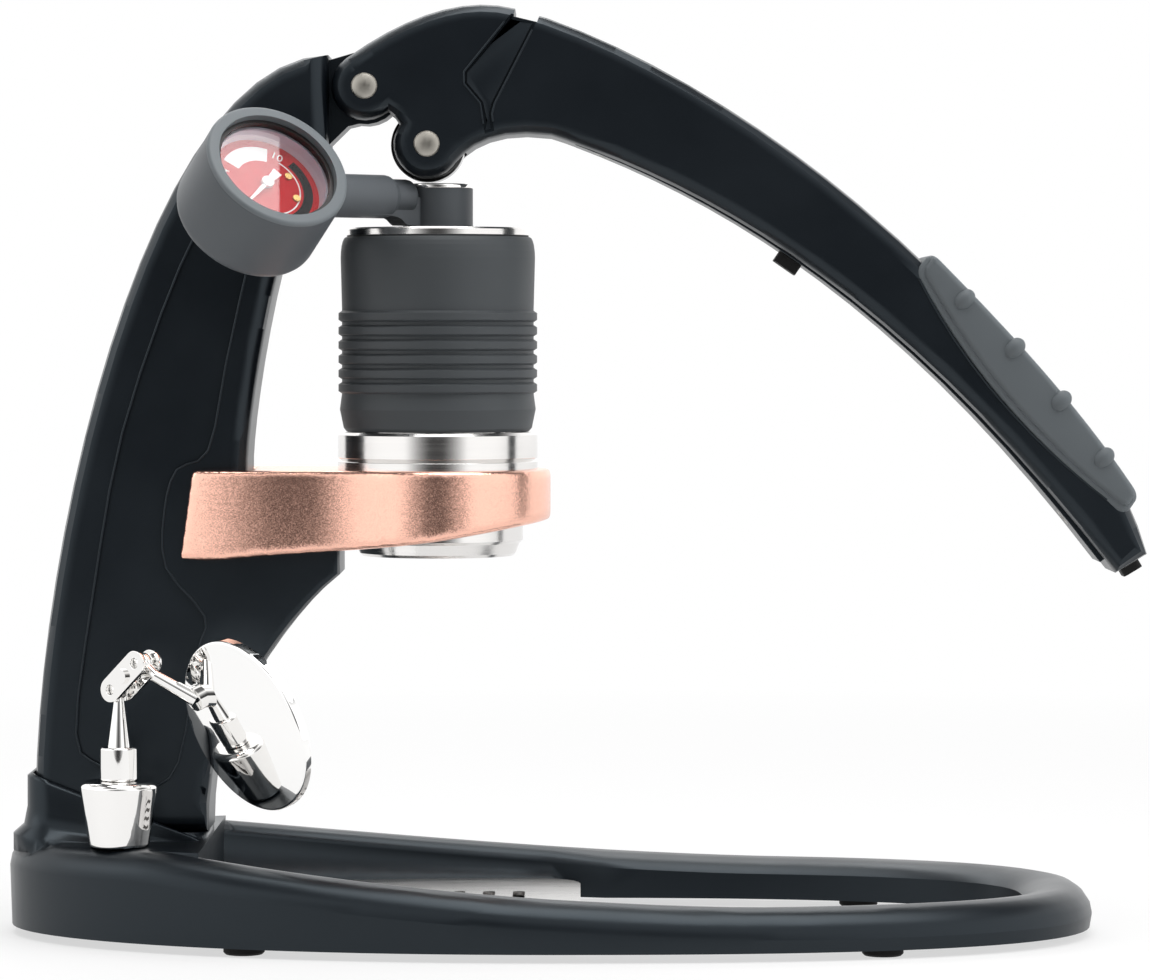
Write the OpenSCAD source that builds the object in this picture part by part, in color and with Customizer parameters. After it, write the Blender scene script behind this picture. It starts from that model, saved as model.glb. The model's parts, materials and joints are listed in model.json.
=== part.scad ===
// Manual lever espresso maker: a cast base ring and post, a hinged lever with a roller,
// a brew head with a pressure gauge in a fork holder, a drip tray and a viewing mirror.
// Origin: on the floor, below the middle of the overall length. The user stands at +X.

/* [Base] */
// Distance from the origin back to the rear of the base ring
base_rear = 162.4; // [150:0.1:175]
// Length of the base ring
base_len = 310.6; // [290:0.1:325]
// Width of the base ring
base_w = 148; // [138:1:170]
// Width of the ring's rail
rail_w = 20; // [17:0.5:22]
// Height of the rail's top at the front
rail_front_h = 14; // [12:0.5:18]
// Height of the rear deck's top
deck_h = 27.5; // [25:0.5:32]
// Length of the solid deck from the rear end
deck_len = 58; // [56:0.5:66]
// Depth by which the rail's inner wall steps back beside the tray
tray_recess = 4; // [2:0.5:6]
// Height of the socket collar's rear rim above the deck
socket_h = 19.5; // [14:0.5:26]
// Wall of the socket collar around the post
socket_wall = 2.4; // [1.5:0.1:4]
// Height of the rubber feet
foot_h = 2.4; // [1.5:0.1:4]
// Diameter of the rubber feet
foot_d = 11.5; // [8:0.5:14]

/* [Drip tray] */
// Length of the tray in front of the deck
tray_len = 106; // [90:1:115]
// Height of the tray's ledge above the base's underside
ledge_h = 2; // [1.5:0.1:3]
// Depth of the tray's pan
pan_h = 2.4; // [2:0.1:4]
// Sheet thickness of the pan and the grate
tray_sheet = 1.2; // [0.8:0.1:1.4]
// Number of drain slots in the grate
drain_slots = 9; // [5:1:12]
// Width of a drain slot
drain_w = 3.5; // [2:0.1:5]

/* [Post] */
// Thickness of the post
post_thick = 34; // [30:1:40]
// Distance from the base's rear to the post's rear edge at its foot
post_inset = 8.5; // [7:0.5:11]
// Depth of the post's foot, front to back
post_foot_len = 49.2; // [46:0.1:52]
// Height of the post's bottom face above the deck
plinth_h = 2.1; // [1.5:0.1:4]
// Radius of the post's rounded edges
post_edge_r = 5; // [3:0.5:6]
// Thickness of the tongue between the lever's ears
tongue_thick = 16; // [14:0.5:18]
// Diameter of the screw that clamps the post to the base
tower_screw_d = 8; // [6:0.5:10]

/* [Lever] */
// Horizontal distance from the lever's pivot to its tip
lever_reach = 223.2; // [210:0.1:235]
// Height of the lever's tip below its pivot
lever_drop = 133.4; // [125:0.1:140]
// Width of the lever
lever_w = 34; // [32:0.5:40]
// Radius of the lever's rounded edges
lever_edge_r = 4.5; // [3:0.5:5.5]
// Radius of the ear's lobe round the pivot
ear_r = 9.6; // [9:0.1:10.5]
// Horizontal distance from the pivot to the roller's pin
pin_reach = 17.8; // [17:0.1:19]
// Height of the pivot above the roller's pin
pin_drop = 16.5; // [16:0.1:18]
// Radius of the press roller
roller_r = 10.6; // [10:0.1:11]
// Width of the press roller
roller_w = 14; // [11:0.5:14.5]
// Diameter of the pins' shanks
pin_d = 6; // [5:0.1:6.5]
// Diameter of the pins' heads
pin_head_d = 7.5; // [7:0.1:9]
// Depth that the pins' heads sink into the ears
pin_sink = 2; // [1.5:0.1:3]
// Thickness of the silicone grip
grip_t = 3.6; // [2.5:0.1:5]

/* [Brew head] */
// Distance from the base's rear to the brew axis
brew_reach = 122.9; // [118:0.1:128]
// Height of the holder's top face
holder_top = 132.8; // [125:0.1:145]
// Outer diameter of the holder's ring
holder_ring_d = 65; // [62:0.5:70]
// Diameter of the portafilter's body
portafilter_d = 49; // [47:0.5:51]
// Diameter of the portafilter's flange
flange_d = 57.4; // [56:0.1:60]
// Height of the portafilter's flange
flange_h = 10.5; // [9:0.1:13]
// Length of the portafilter below the holder's top
portafilter_drop = 21.3; // [18:0.1:23]
// Height of the spout ring under the portafilter
spout_h = 3.7; // [2.5:0.1:6]
// Bore of the brew cylinder
cylinder_bore = 40; // [38:0.5:42]
// Wall of the brew cylinder
cylinder_wall = 3.5; // [2.5:0.1:4.5]
// Height of the silicone sleeve
sleeve_h = 56; // [50:0.5:65]
// Largest diameter of the silicone sleeve's ribs
sleeve_d = 57.2; // [55:0.1:60]
// Number of ribs on the sleeve
sleeve_ribs = 6; // [4:1:8]
// Height of the cylinder's steel rim
rim_h = 2.6; // [2:0.1:4]
// Diameter of the cylinder's steel rim
rim_d = 53; // [50:0.5:56]
// Diameter of the plunger's stem
stem_d = 13; // [11:0.5:14]
// Diameter of the collar round the stem
collar_d = 20.2; // [18:0.1:22]
// Height of the collar round the stem
collar_h = 11.4; // [9:0.1:14]
// Height of the steel cap on the stem
cap_h = 1.3; // [1:0.1:2.5]

/* [Gauge] */
// Diameter of the gauge's housing
gauge_d = 42; // [40:0.5:46]
// Depth of the gauge's housing
gauge_depth = 26; // [24:0.5:30]
// Distance that the gauge sits behind the brew axis
gauge_back = 48.2; // [44:0.1:54]
// Gap between the gauge's housing and the post's side
gauge_gap = 1.9; // [1:0.1:6]
// Tilt of the gauge's face from facing straight up
gauge_tilt = 53; // [45:1:60]
// Turn of the gauge's face towards the front
gauge_turn = 32.5; // [20:0.5:40]
// Diameter of the gauge's arm
arm_d = 12.4; // [10:0.1:13]

/* [Mirror] */
// Distance from the base's rear to the mirror's foot
mirror_x = 34.4; // [32:0.1:38]
// Gap between the mirror's foot and the socket collar's fillet
mirror_gap = 2.1; // [1:0.1:3]
// Diameter of the mirror
mirror_d = 50.6; // [44:0.1:54]
// Diameter of the mirror foot's shoulder
mirror_foot_d = 22; // [18:0.5:24]
// Height of the mirror's foot
mirror_foot_h = 18.5; // [15:0.5:22]
// Diameter of the link's balls
ball_d = 5.6; // [5:0.1:6.5]
// Distance between the link's two balls
link_len = 12; // [11:0.5:15]

/* [Clearances] */
// Running clearance of pins and pistons, on the radius
run_gap = 0.05; // [0.02:0.01:0.1]
// Clearance between pieces that slip together
fit_gap = 0.2; // [0.1:0.05:0.3]
// Clearance between moving faces that don't bear on each other
free_gap = 0.6; // [0.4:0.1:1]

/* [Hidden] */
$fn = 64;

// Places along the length
base_x0 = -base_rear;
base_mid = base_x0 + base_len / 2;
deck_front = base_x0 + deck_len;
tray_front = deck_front + tray_len;
post_x0 = base_x0 + post_inset;
post_x1 = post_x0 + post_foot_len;
brew_x = base_x0 + brew_reach;

// Heights of the brew head's stack
flange_top = holder_top + flange_h;
sleeve_top = flange_top + sleeve_h;
rim_top = sleeve_top + rim_h;
stem_top = rim_top + collar_h + cap_h;
roller_lift = 0.4;
roller_off = 2.7;
roller_x = brew_x - roller_off;
roller_z = stem_top + roller_lift + roller_r;
pivot_x = roller_x - pin_reach;
pivot_z = roller_z + pin_drop;

// Curves: a cubic curve, an arc and a smooth closed curve through points
function bez(p, n) = [for (k = [0:n]) let (t = k / n, s = 1 - t)
  s * s * s * p[0] + 3 * s * s * t * p[1] + 3 * s * t * t * p[2] + t * t * t * p[3]];
function arc(c, r, a0, a1, n) = [for (k = [0:n]) let (a = a0 + (a1 - a0) * k / n)
  c + r * [cos(a), sin(a)]];
function knot(p, i, t) = let (n = len(p), a = p[(i + n - 1) % n], b = p[i], c = p[(i + 1) % n],
  d = p[(i + 2) % n])
  0.5 * (2 * b + (c - a) * t + (2 * a - 5 * b + 4 * c - d) * t * t + (3 * b - a - 3 * c + d) * t * t * t);
function loop_through(p, n) = [for (i = [0:len(p) - 1]) for (k = [0:n - 1]) knot(p, i, k / n)];
function backwards(p) = [for (i = [len(p) - 1:-1:0]) p[i]];
function round_box(x0, x1, half, r, n) = concat(
  arc([x1 - r, -half + r], r, -90, 0, n), arc([x1 - r, half - r], r, 0, 90, n),
  arc([x0 + r, half - r], r, 90, 180, n), arc([x0 + r, -half + r], r, 180, 270, n));

// A closed outline drawn in by a distance
function inset(p, d) = let (n = len(p)) [for (i = [0:n - 1])
  let (t = p[(i + 1) % n] - p[(i + n - 1) % n]) p[i] + d * [-t[1], t[0]] / norm(t)];
function upright(p, y) = [for (q = p) [q[0], y, q[1]]];

// Triangles over a counter-clockwise outline, found by clipping off one ear after another
function turn(a, b, c) = cross(b - a, c - b);
function holds(a, b, c, q) = turn(a, b, q) >= 0 && turn(b, c, q) >= 0 && turn(c, a, q) >= 0;
function is_ear(p, k) = let (a = p[k[len(k) - 1]], b = p[k[0]], c = p[k[1]])
  turn(a, b, c) > 0 && len([for (i = [2:len(k) - 2]) if (holds(a, b, c, p[k[i]])) i]) == 0;
function rolled(k) = [for (i = [1:len(k)]) k[i % len(k)]];
function ears(p, k) = len(k) == 3 ? [k]
  : is_ear(p, k) ? concat([[k[len(k) - 1], k[0], k[1]]],
    ears(p, rolled([for (i = [1:len(k) - 1]) k[i]])))
  : ears(p, rolled(k));

// Solid through a row of rings; each ring runs counter-clockwise seen from the last one.
// A hollow outline is given too, so that its ends close over it.
module loft(rings, outline = undef) {
  n = len(rings[0]);
  last = len(rings) - 1;
  all = [for (i = [0:n - 1]) i];
  end = is_undef(outline) ? [all] : ears(outline, all);
  polyhedron(
    points = [for (r = rings) each r],
    faces = concat(
      end,
      [for (j = [0:last - 1]) for (i = [0:n - 1])
        [j * n + i, (j + 1) * n + i, (j + 1) * n + (i + 1) % n, j * n + (i + 1) % n]],
      [for (f = end) [for (i = backwards(f)) last * n + i]]),
    convexity = 8);
}

// Ring-shaped solid through sections that close on themselves
module loft_round(rings) {
  n = len(rings[0]);
  m = len(rings);
  polyhedron(
    points = [for (r = rings) each r],
    faces = [for (j = [0:m - 1]) for (i = [0:n - 1])
      [j * n + i, ((j + 1) % m) * n + i, ((j + 1) % m) * n + (i + 1) % n, j * n + (i + 1) % n]],
    convexity = 8);
}

// Side outline with thickness, its two edges rounded
module pillow(outline, half, r, steps = 3) {
  near = [for (j = [0:steps]) let (a = 90 * j / steps)
    upright(inset(outline, r * (1 - sin(a))), half - r * (1 - cos(a)))];
  far = [for (j = [steps:-1:0]) let (a = 90 * j / steps)
    upright(inset(outline, r * (1 - sin(a))), r * (1 - cos(a)) - half)];
  loft(concat(near, far), inset(outline, r));
}

// Side outline with plain thickness
module slab(outline, half) {
  translate([0, half, 0]) rotate([90, 0, 0]) linear_extrude(2 * half) polygon(outline);
}

// Cylinder along Y through a point of the middle plane
module cross_bore(x, z, d, y0, y1) {
  translate([x, y1, z]) rotate([90, 0, 0]) cylinder(d = d, h = y1 - y0);
}

// The base ring's outline, drawn in by a distance: blunt at the front, rounder at the rear
front_blunt = 2.55;
rear_blunt = 2.05;
function blunt(v, e) = sign(v) * pow(abs(v), 2 / e);
function ring_point(t, d) = let (e = cos(t) > 0 ? front_blunt : rear_blunt)
  [base_mid + (base_len / 2 - d) * blunt(cos(t), e), (base_w / 2 - d) * blunt(sin(t), e)];
ring_steps = 96;
function ring_outline(d) = [for (k = [0:ring_steps - 1]) ring_point(360 * k / ring_steps, d)];

// The rail's top rises towards the rear deck
rise_start = 60;
rise_len = 175;
rise_power = 1.7;
function rail_top(x) = rail_front_h
  + (deck_h - rail_front_h) * pow(min(1, max(0, (rise_start - x) / rise_len)), rise_power);

// The rail's section across, from its outer foot round to its outer shoulder
ridge_in = 8;
outer_round = 8;
inner_round = 6;
rail_draft = 0.6;
step_len = 8;
function rail_width(x) = rail_w
  - tray_recess * min(1, max(0, (tray_front + step_len - x) / step_len));
function across(t, u, z) = let (p = ring_point(t, u)) [p[0], p[1], z];
function rail_section(t) = let (
  x = ring_point(t, ridge_in)[0],
  w = rail_width(x),
  top = rail_top(x),
  crown = [for (k = [0:4]) let (a = 90 - 18 * k)
    across(t, ridge_in + (w - ridge_in) * cos(a), top - inner_round * (1 - sin(a)))],
  shoulder = [for (k = [1:4]) let (a = 22.5 * k)
    across(t, ridge_in * (1 - sin(a)), top - outer_round * (1 - cos(a)))])
  concat([across(t, rail_draft, foot_h), across(t, w, foot_h)], backwards(crown), shoulder);

socket_fillet = 4;
socket_half = post_thick / 2 + socket_wall;
socket_slope = 0.387;
post_z0 = deck_h + plinth_h;
function socket_rim(x) = deck_h + socket_h - socket_slope * (x - post_x0 + socket_wall);

// Collar round the post's foot, its rim sloping down to the deck
module socket_collar() {
  deck_sink = 3;
  corner = post_edge_r + socket_wall;
  function collar_ring(grow, share) = [
    for (p = round_box(post_x0 - socket_wall - grow, post_x1 + socket_wall + grow, socket_half + grow,
      corner + grow, 5))
    [p[0], p[1], deck_h - deck_sink + share * (socket_rim(p[0]) - deck_h + deck_sink)]];
  lip = 1.2;
  loft([collar_ring(socket_fillet, 0), collar_ring(socket_fillet, 0.2),
    collar_ring(socket_fillet / 4, 0.32),
    collar_ring(0, 0.55), collar_ring(0, 0.94), collar_ring(-lip, 1)]);
}

screw_head_d = tower_screw_d * 1.6;
screw_head_h = tower_screw_d;
washer_t = 1.6;
post_mid = (post_x0 + post_x1) / 2;
deck_plate = 8;
screw_seat = post_z0 - deck_plate;

module base_frame() {
  ledge_in = 5;
  ledge_under = 1;
  plinth_front = 14;
  collar_back = 0.5;
  color("#1c1d20") difference() {
    union() {
      loft_round([for (k = [0:ring_steps - 1]) rail_section(360 * k / ring_steps)]);
      translate([0, 0, foot_h]) linear_extrude(deck_h - foot_h) intersection() {
        polygon(ring_outline(ridge_in));
        translate([base_x0, -base_w / 2]) square([deck_len, base_w]);
      }
      translate([0, 0, foot_h]) linear_extrude(ledge_h) intersection() {
        difference() {
          polygon(ring_outline(rail_w - tray_recess - ledge_under));
          polygon(ring_outline(rail_w - tray_recess + ledge_in));
        }
        translate([deck_front - ledge_under, -base_w / 2]) square([tray_len, base_w]);
      }
      intersection() {
        socket_collar();
        translate([base_x0, -base_w / 2, 0]) cube([deck_len - collar_back, base_w, post_z0 + 2 * socket_h]);
      }
      translate([0, 0, deck_h - ledge_under]) linear_extrude(plinth_h + ledge_under)
        polygon(round_box(post_x1 - plinth_front, post_x1 - fit_gap, post_thick / 2, post_edge_r, 5));
    }
    translate([0, 0, post_z0]) linear_extrude(socket_h + deck_h)
      polygon(round_box(post_x0 - free_gap, post_x1 + post_foot_len, post_thick / 2 + fit_gap,
        post_edge_r - fit_gap, 5));
    translate([post_mid, 0, 0]) cylinder(d = tower_screw_d + 2 * fit_gap, h = post_z0 + 1);
    translate([post_mid, 0, 0]) cylinder(d = screw_head_d + 4 * free_gap + 2, h = screw_seat);
  }
}

// Two pairs of feet under the rail and one at each end
foot_turns = [0, 56, 125, 180, 235, 304];
module base_feet() {
  foot_in = rail_w / 2;
  edge = 0.6;
  color("#141414") for (t = foot_turns) {
    translate(concat(ring_point(t, foot_in), 0)) {
      cylinder(d1 = foot_d - 2 * edge, d2 = foot_d, h = edge);
      translate([0, 0, edge]) cylinder(d = foot_d, h = foot_h - edge);
    }
  }
}

// The tray's outline, drawn in by a distance
tray_in = rail_w - tray_recess + free_gap;
tray_corner = 14;
pan_z = foot_h + ledge_h;
grate_z = pan_z + pan_h;
module tray_outline(d) {
  intersection() {
    polygon(ring_outline(tray_in + d));
    polygon(round_box(deck_front + free_gap + d, tray_front - d, base_w / 2 - tray_in - d,
      tray_corner - d, 6));
  }
}

module drip_pan() {
  color("#3a3c3f") translate([0, 0, pan_z]) difference() {
    linear_extrude(pan_h) tray_outline(0);
    translate([0, 0, tray_sheet]) linear_extrude(pan_h) tray_outline(2 * tray_sheet);
  }
}

module drip_grate() {
  drain_len = 46;
  drain_margin = 18;
  pitch = (tray_len - 2 * drain_margin) / (drain_slots - 1);
  color("#b9bcc0") translate([0, 0, grate_z]) linear_extrude(tray_sheet) difference() {
    tray_outline(0);
    for (k = [0:drain_slots - 1]) translate([deck_front + drain_margin + k * pitch, 0]) {
      square([drain_w, drain_len], center = true);
      for (side = [-1, 1]) translate([0, side * drain_len / 2]) circle(d = drain_w);
    }
  }
}

// The post's side outline
head_rise = 9;
shoulder_gap = 0.8;
shoulder_x = pivot_x - ear_r - shoulder_gap;
waist_back = 53.8;
waist_x = brew_x - waist_back;
seat_drop = 19.8;
holder_seat = holder_top - seat_drop;
bracket_back = 27.5;
bracket_x1 = brew_x - bracket_back;
bracket_half = post_thick / 2 - 0.5;
head_z = pivot_z + head_rise;

post_rear = bez([[post_x0, post_z0], [post_x0 - 2.1, post_z0 + 73.3],
  [shoulder_x - 53, head_z - 0.5], [shoulder_x, head_z]], 22);
post_front_low = bez([[post_x1, post_z0], [post_x1, post_z0 + 22],
  [waist_x - 4, holder_seat - 40], [waist_x, holder_seat - 14]], 8);
post_front_high = bez([[waist_x, holder_top + 3], [waist_x + 0.6, holder_top + 20],
  [shoulder_x - 13, pivot_z - 29.6], [shoulder_x, pivot_z - 17]], 12);

// Bracket under the holder: its underside sweeps up from the post's foot
bracket_h = 10;
bracket_outline = concat(
  [[post_x0 + post_foot_len / 2, post_z0 + 20]],
  bez([[post_x1 - 0.8, post_z0 + 10], [post_x1 - 0.4, post_z0 + 25],
    [bracket_x1 - 17.9, holder_seat - bracket_h - 14], [bracket_x1, holder_seat - bracket_h]], 12),
  [[bracket_x1, holder_seat], [waist_x - 12, holder_seat]]);

// Shallow field on each side of the post
field_depth = 1;
field_outline = loop_through([[post_x0 + 12, post_z0 + 28], [post_x0 + 19, post_z0 + 19],
  [post_x0 + 32, post_z0 + 13], [post_x1 - 8, post_z0 + 20], [post_x1 - 3, post_z0 + 50],
  [waist_x - 12, holder_seat - 22], [waist_x - 23, holder_seat - 8], [waist_x - 23.5, holder_seat + 8],
  [waist_x - 20, holder_top], [waist_x - 11, holder_top + 5.5], [waist_x - 6, holder_top + 30],
  [waist_x, holder_top + 57], [waist_x + 5, pivot_z - 35], [waist_x - 7, pivot_z - 33],
  [waist_x - 19, holder_top + 58], [waist_x - 35.5, holder_top + 10.5],
    [waist_x - 44, holder_seat - 17]], 3);

// Tongue that the lever's ears straddle
tongue_r = ear_r + 1;
tongue_outline = concat(
  [[shoulder_x - 14, pivot_z - 26], [shoulder_x, pivot_z - 16.5],
    [pivot_x - 5, pivot_z - tongue_r - 0.6]],
  arc([pivot_x, pivot_z], tongue_r, -100, 95, 14),
  [[shoulder_x, head_z - 1.2], [shoulder_x - 14, head_z - 5]]);

bush_wall = 1.5;
bush_d = pin_d + 2 * bush_wall;
press_gap = 0.02;
tower_grip = 22;
holder_screw_d = 5;
holder_screw_head = [8.5, 5];
holder_screw_x = [waist_x + 6, waist_x + 15];
holder_screw_seat = holder_seat - 6;
holder_screw_len = 18;

module tower_post() {
  color("#1b1c1f") difference() {
    union() {
      pillow(concat(post_front_low, post_front_high, backwards(post_rear)), post_thick / 2,
        post_edge_r);
      pillow(bracket_outline, bracket_half, post_edge_r / 2, 2);
      slab(tongue_outline, tongue_thick / 2);
    }
    for (side = [-1, 1]) translate([0, side * (post_thick / 2 + 4 - field_depth), 0])
      slab(field_outline, 4);
    cross_bore(pivot_x, pivot_z, bush_d + 2 * press_gap, -tongue_thick, tongue_thick);
    translate([post_mid, 0, post_z0 - 1]) cylinder(d = tower_screw_d + 2 * press_gap,
      h = tower_grip + 2);
    for (x = holder_screw_x) translate([x, 0, 0]) {
      cylinder(d = holder_screw_d + 2 * fit_gap, h = holder_seat + 1);
      cylinder(d = holder_screw_head[0] + 2 * fit_gap, h = holder_screw_seat);
    }
  }
}

// Cap screw standing on its head, with a hexagon socket in the head
module cap_screw(d, len, head_d, head_h) {
  socket_share = 0.55;
  difference() {
    union() {
      cylinder(d = head_d, h = head_h);
      cylinder(d = d, h = head_h + len);
    }
    translate([0, 0, -1]) cylinder(d = head_d * socket_share, h = head_h / 2 + 1, $fn = 6);
  }
}

module tower_screw() {
  len = washer_t + deck_plate + tower_grip - 2;
  color("#8d9094") translate([post_mid, 0, screw_seat - washer_t - screw_head_h])
    cap_screw(tower_screw_d, len, screw_head_d, screw_head_h);
}

module tower_washer() {
  color("#a5a8ab") translate([post_mid, 0, screw_seat - washer_t]) difference() {
    cylinder(d = screw_head_d + 2, h = washer_t);
    translate([0, 0, -1]) cylinder(d = tower_screw_d + 2 * fit_gap, h = washer_t + 2);
  }
}

// Flanged bush pressed into each side of the tongue
module pivot_bushes() {
  flange_t = 0.4;
  seam = 0.5;
  color("#b88746") for (side = [-1, 1]) translate([pivot_x, 0, pivot_z]) rotate([side * 90, 0, 0])
    difference() {
      union() {
        translate([0, 0, seam]) cylinder(d = bush_d, h = tongue_thick / 2 - seam);
        translate([0, 0, tongue_thick / 2]) cylinder(d = bush_d + 3, h = flange_t);
      }
      cylinder(d = pin_d + 2 * run_gap, h = tongue_thick);
    }
}

module holder_screws() {
  color("#8d9094") for (x = holder_screw_x)
    translate([x, 0, holder_screw_seat - holder_screw_head[1]])
      cap_screw(holder_screw_d, holder_screw_len, holder_screw_head[0], holder_screw_head[1]);
}

// Places round the brew axis
module on_brew(z) {
  translate([brew_x, 0, z]) children();
}

// The holder's plan: a ring with two cheeks that straddle the post
cheek_wall = 8.5;
cheek_half = post_thick / 2 + cheek_wall;
holder_back = 73.1;
holder_x0 = brew_x - holder_back;
ring_r = holder_ring_d / 2;
neck_a = 133;
cheek_r = 86;
cheek_mid = brew_x - 41.5;
cheek_front = 12;
cheek_step = 2.725;
function cheek_at(a) = [cheek_mid + cheek_r * sin(a), cheek_half - cheek_r * (1 - cos(a))];
holder_side = concat([for (k = [0:12]) cheek_at(cheek_front - cheek_step * k)],
  [[holder_x0, cheek_half - 6.8]]);
holder_plan = concat(arc([brew_x, 0], ring_r, -neck_a, neck_a, 36), holder_side,
  [for (p = backwards(holder_side)) [p[0], -p[1]]]);

// The holder seen from the side: its underside rises towards the ring
holder_low = holder_top - 25.8;
holder_front_low = holder_top - 13;
holder_profile = concat(
  bez([[holder_x0, holder_low], [waist_x + 8, holder_low - 1.5],
    [brew_x - 15.5, holder_front_low - 1.3], [brew_x + ring_r + 1, holder_front_low]], 16),
  [[brew_x + ring_r + 1, holder_top], [holder_x0 + 3.6, holder_top]]);

module holder_arm() {
  slot_half = post_thick / 2 + fit_gap;
  color("#c98a6e") difference() {
    intersection() {
      translate([0, 0, holder_low - 2]) linear_extrude(holder_top - holder_low + 4)
        polygon(holder_plan);
      slab(holder_profile, cheek_half + ring_r);
    }
    on_brew(0) cylinder(d = portafilter_d + 2 * fit_gap, h = holder_top + 1);
    translate([holder_x0 - 1, -slot_half, 0]) cube([waist_x + fit_gap - holder_x0 + 1, 2 * slot_half,
      pivot_z]);
    translate([holder_x0 - 1, -slot_half, 0]) cube([bracket_x1 + fit_gap - holder_x0 + 1,
      2 * slot_half, holder_seat]);
    for (x = holder_screw_x) translate([x, 0, 0])
      cylinder(d = holder_screw_d + 2 * press_gap, h = holder_screw_seat + holder_screw_len + 1);
  }
}

// Seats inside the portafilter and the brew cylinder
portafilter_wall = 2;
portafilter_r = portafilter_d / 2;
portafilter_z0 = holder_top - portafilter_drop;
cylinder_r = cylinder_bore / 2 + cylinder_wall;
recess_depth = 6;
recess_z = flange_top - recess_depth;
basket_rim_t = 1.2;
basket_wall = 0.8;
basket_r = portafilter_r - portafilter_wall - fit_gap;
spigot_h = 3;
basket_z0 = portafilter_z0 + spigot_h + 2.3;
seal_t = 1.5;
cylinder_z0 = recess_z + basket_rim_t + seal_t;

module portafilter_body() {
  groove_z = 2.6;
  groove = 0.6;
  bevel = 0.8;
  inner = portafilter_r - portafilter_wall;
  color("#c3c5c8") rotate_on_brew([[inner, portafilter_z0], [portafilter_r - bevel, portafilter_z0],
    [portafilter_r, portafilter_z0 + bevel], [portafilter_r, holder_top], [flange_d / 2, holder_top],
    [flange_d / 2, holder_top + groove_z - groove], [flange_d / 2 - groove, holder_top + groove_z],
    [flange_d / 2, holder_top + groove_z + groove], [flange_d / 2, flange_top - bevel],
    [flange_d / 2 - bevel, flange_top], [cylinder_r + fit_gap, flange_top],
    [cylinder_r + fit_gap, recess_z], [inner, recess_z]]);
}

module rotate_on_brew(profile) {
  on_brew(0) rotate_extrude() polygon(profile);
}

module portafilter_spout() {
  top = portafilter_r - 1;
  low = portafilter_r - 2;
  outlet = 4;
  bevel = 0.8;
  z0 = portafilter_z0 - spout_h;
  color("#c3c5c8") rotate_on_brew([[outlet, z0], [low - bevel, z0], [low, z0 + bevel],
    [top, portafilter_z0], [basket_r, portafilter_z0], [basket_r, portafilter_z0 + spigot_h],
    [basket_r - 1.5, portafilter_z0 + spigot_h], [basket_r - 1.5, portafilter_z0], [outlet, z0 + 1.2]]);
}

// Rings of round holes in a sieve
module sieve_holes(reach, d, h) {
  rings = 3;
  for (k = [1:rings]) for (j = [0:6 * k - 1]) rotate(60 * j / k) translate([reach * k / rings, 0, -1])
    cylinder(d = d, h = h + 2, $fn = 24);
}

module filter_basket() {
  hole_d = 1.4;
  color("#b4b6b9") difference() {
    rotate_on_brew([[0, basket_z0], [basket_r - 1, basket_z0], [basket_r, basket_z0 + 1],
      [basket_r, recess_z],
      [cylinder_r, recess_z], [cylinder_r, recess_z + basket_rim_t],
      [basket_r - basket_wall, recess_z + basket_rim_t],
        [basket_r - basket_wall, basket_z0 + basket_wall],
      [0, basket_z0 + basket_wall]]);
    on_brew(basket_z0) sieve_holes(basket_r - 5, hole_d, basket_wall);
  }
}

module cylinder_seal() {
  z0 = recess_z + basket_rim_t;
  color("#8a2f22") rotate_on_brew([[cylinder_bore / 2, z0], [cylinder_r, z0], [cylinder_r, z0 + seal_t],
    [cylinder_bore / 2, z0 + seal_t]]);
}

module brew_cylinder() {
  bevel = 0.5;
  lead_in = 1;
  color("#c3c5c8") rotate_on_brew([[cylinder_bore / 2, cylinder_z0], [cylinder_r, cylinder_z0],
    [cylinder_r, sleeve_top], [rim_d / 2 - bevel, sleeve_top], [rim_d / 2, sleeve_top + bevel],
    [rim_d / 2, rim_top - bevel], [rim_d / 2 - bevel, rim_top], [cylinder_bore / 2 + lead_in, rim_top],
    [cylinder_bore / 2, rim_top - lead_in]]);
}

screen_t = 1.2;
screen_z = cylinder_z0 + 1.5;
module dispersion_screen() {
  hole_d = 2;
  color("#b4b6b9") on_brew(screen_z) difference() {
    cylinder(r = cylinder_bore / 2 - run_gap, h = screen_t);
    sieve_holes(cylinder_bore / 2 - 4, hole_d, screen_t);
  }
}

module cylinder_sleeve() {
  z0 = flange_top + fit_gap;
  rib_r = sleeve_d / 2;
  wall_r = rib_r - 0.6;
  rib_low = 12.5;
  pitch = 4.1;
  low_r = rib_r - 1.5;
  ribs = [for (k = [0:sleeve_ribs - 1]) let (z = z0 + rib_low + k * pitch)
    each [[wall_r - 0.4, z - pitch * 0.4], [rib_r, z - pitch * 0.24], [rib_r, z + pitch * 0.24],
      [wall_r - 0.4, z + pitch * 0.4]]];
  shoulder = [for (k = [0:5]) let (a = 18 * k)
    [rim_d / 2 + (wall_r - rim_d / 2) * cos(a), sleeve_top - 6 + 6 * sin(a)]];
  color("#4a4c50") rotate_on_brew(concat([[cylinder_r + press_gap, z0], [low_r - 0.8, z0],
    [low_r, z0 + 1],
    [wall_r + 0.2, z0 + rib_low - pitch * 1.5]], ribs, shoulder,
      [[cylinder_r + press_gap, sleeve_top]]));
}

// The plunger at the bottom of its stroke
piston_r = cylinder_bore / 2 - 2 * run_gap;
piston_h = 16;
piston_z0 = screen_z + screen_t + 4;
seal_d = 3;
seal_gland = seal_d;
seal_levels = [4.5, 11.5];
stem_root_d = 8;
stem_root_len = 12;
shoulder_d = 17;
shoulder_t = 3;
shoulder_top = rim_top + 0.2;

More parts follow.
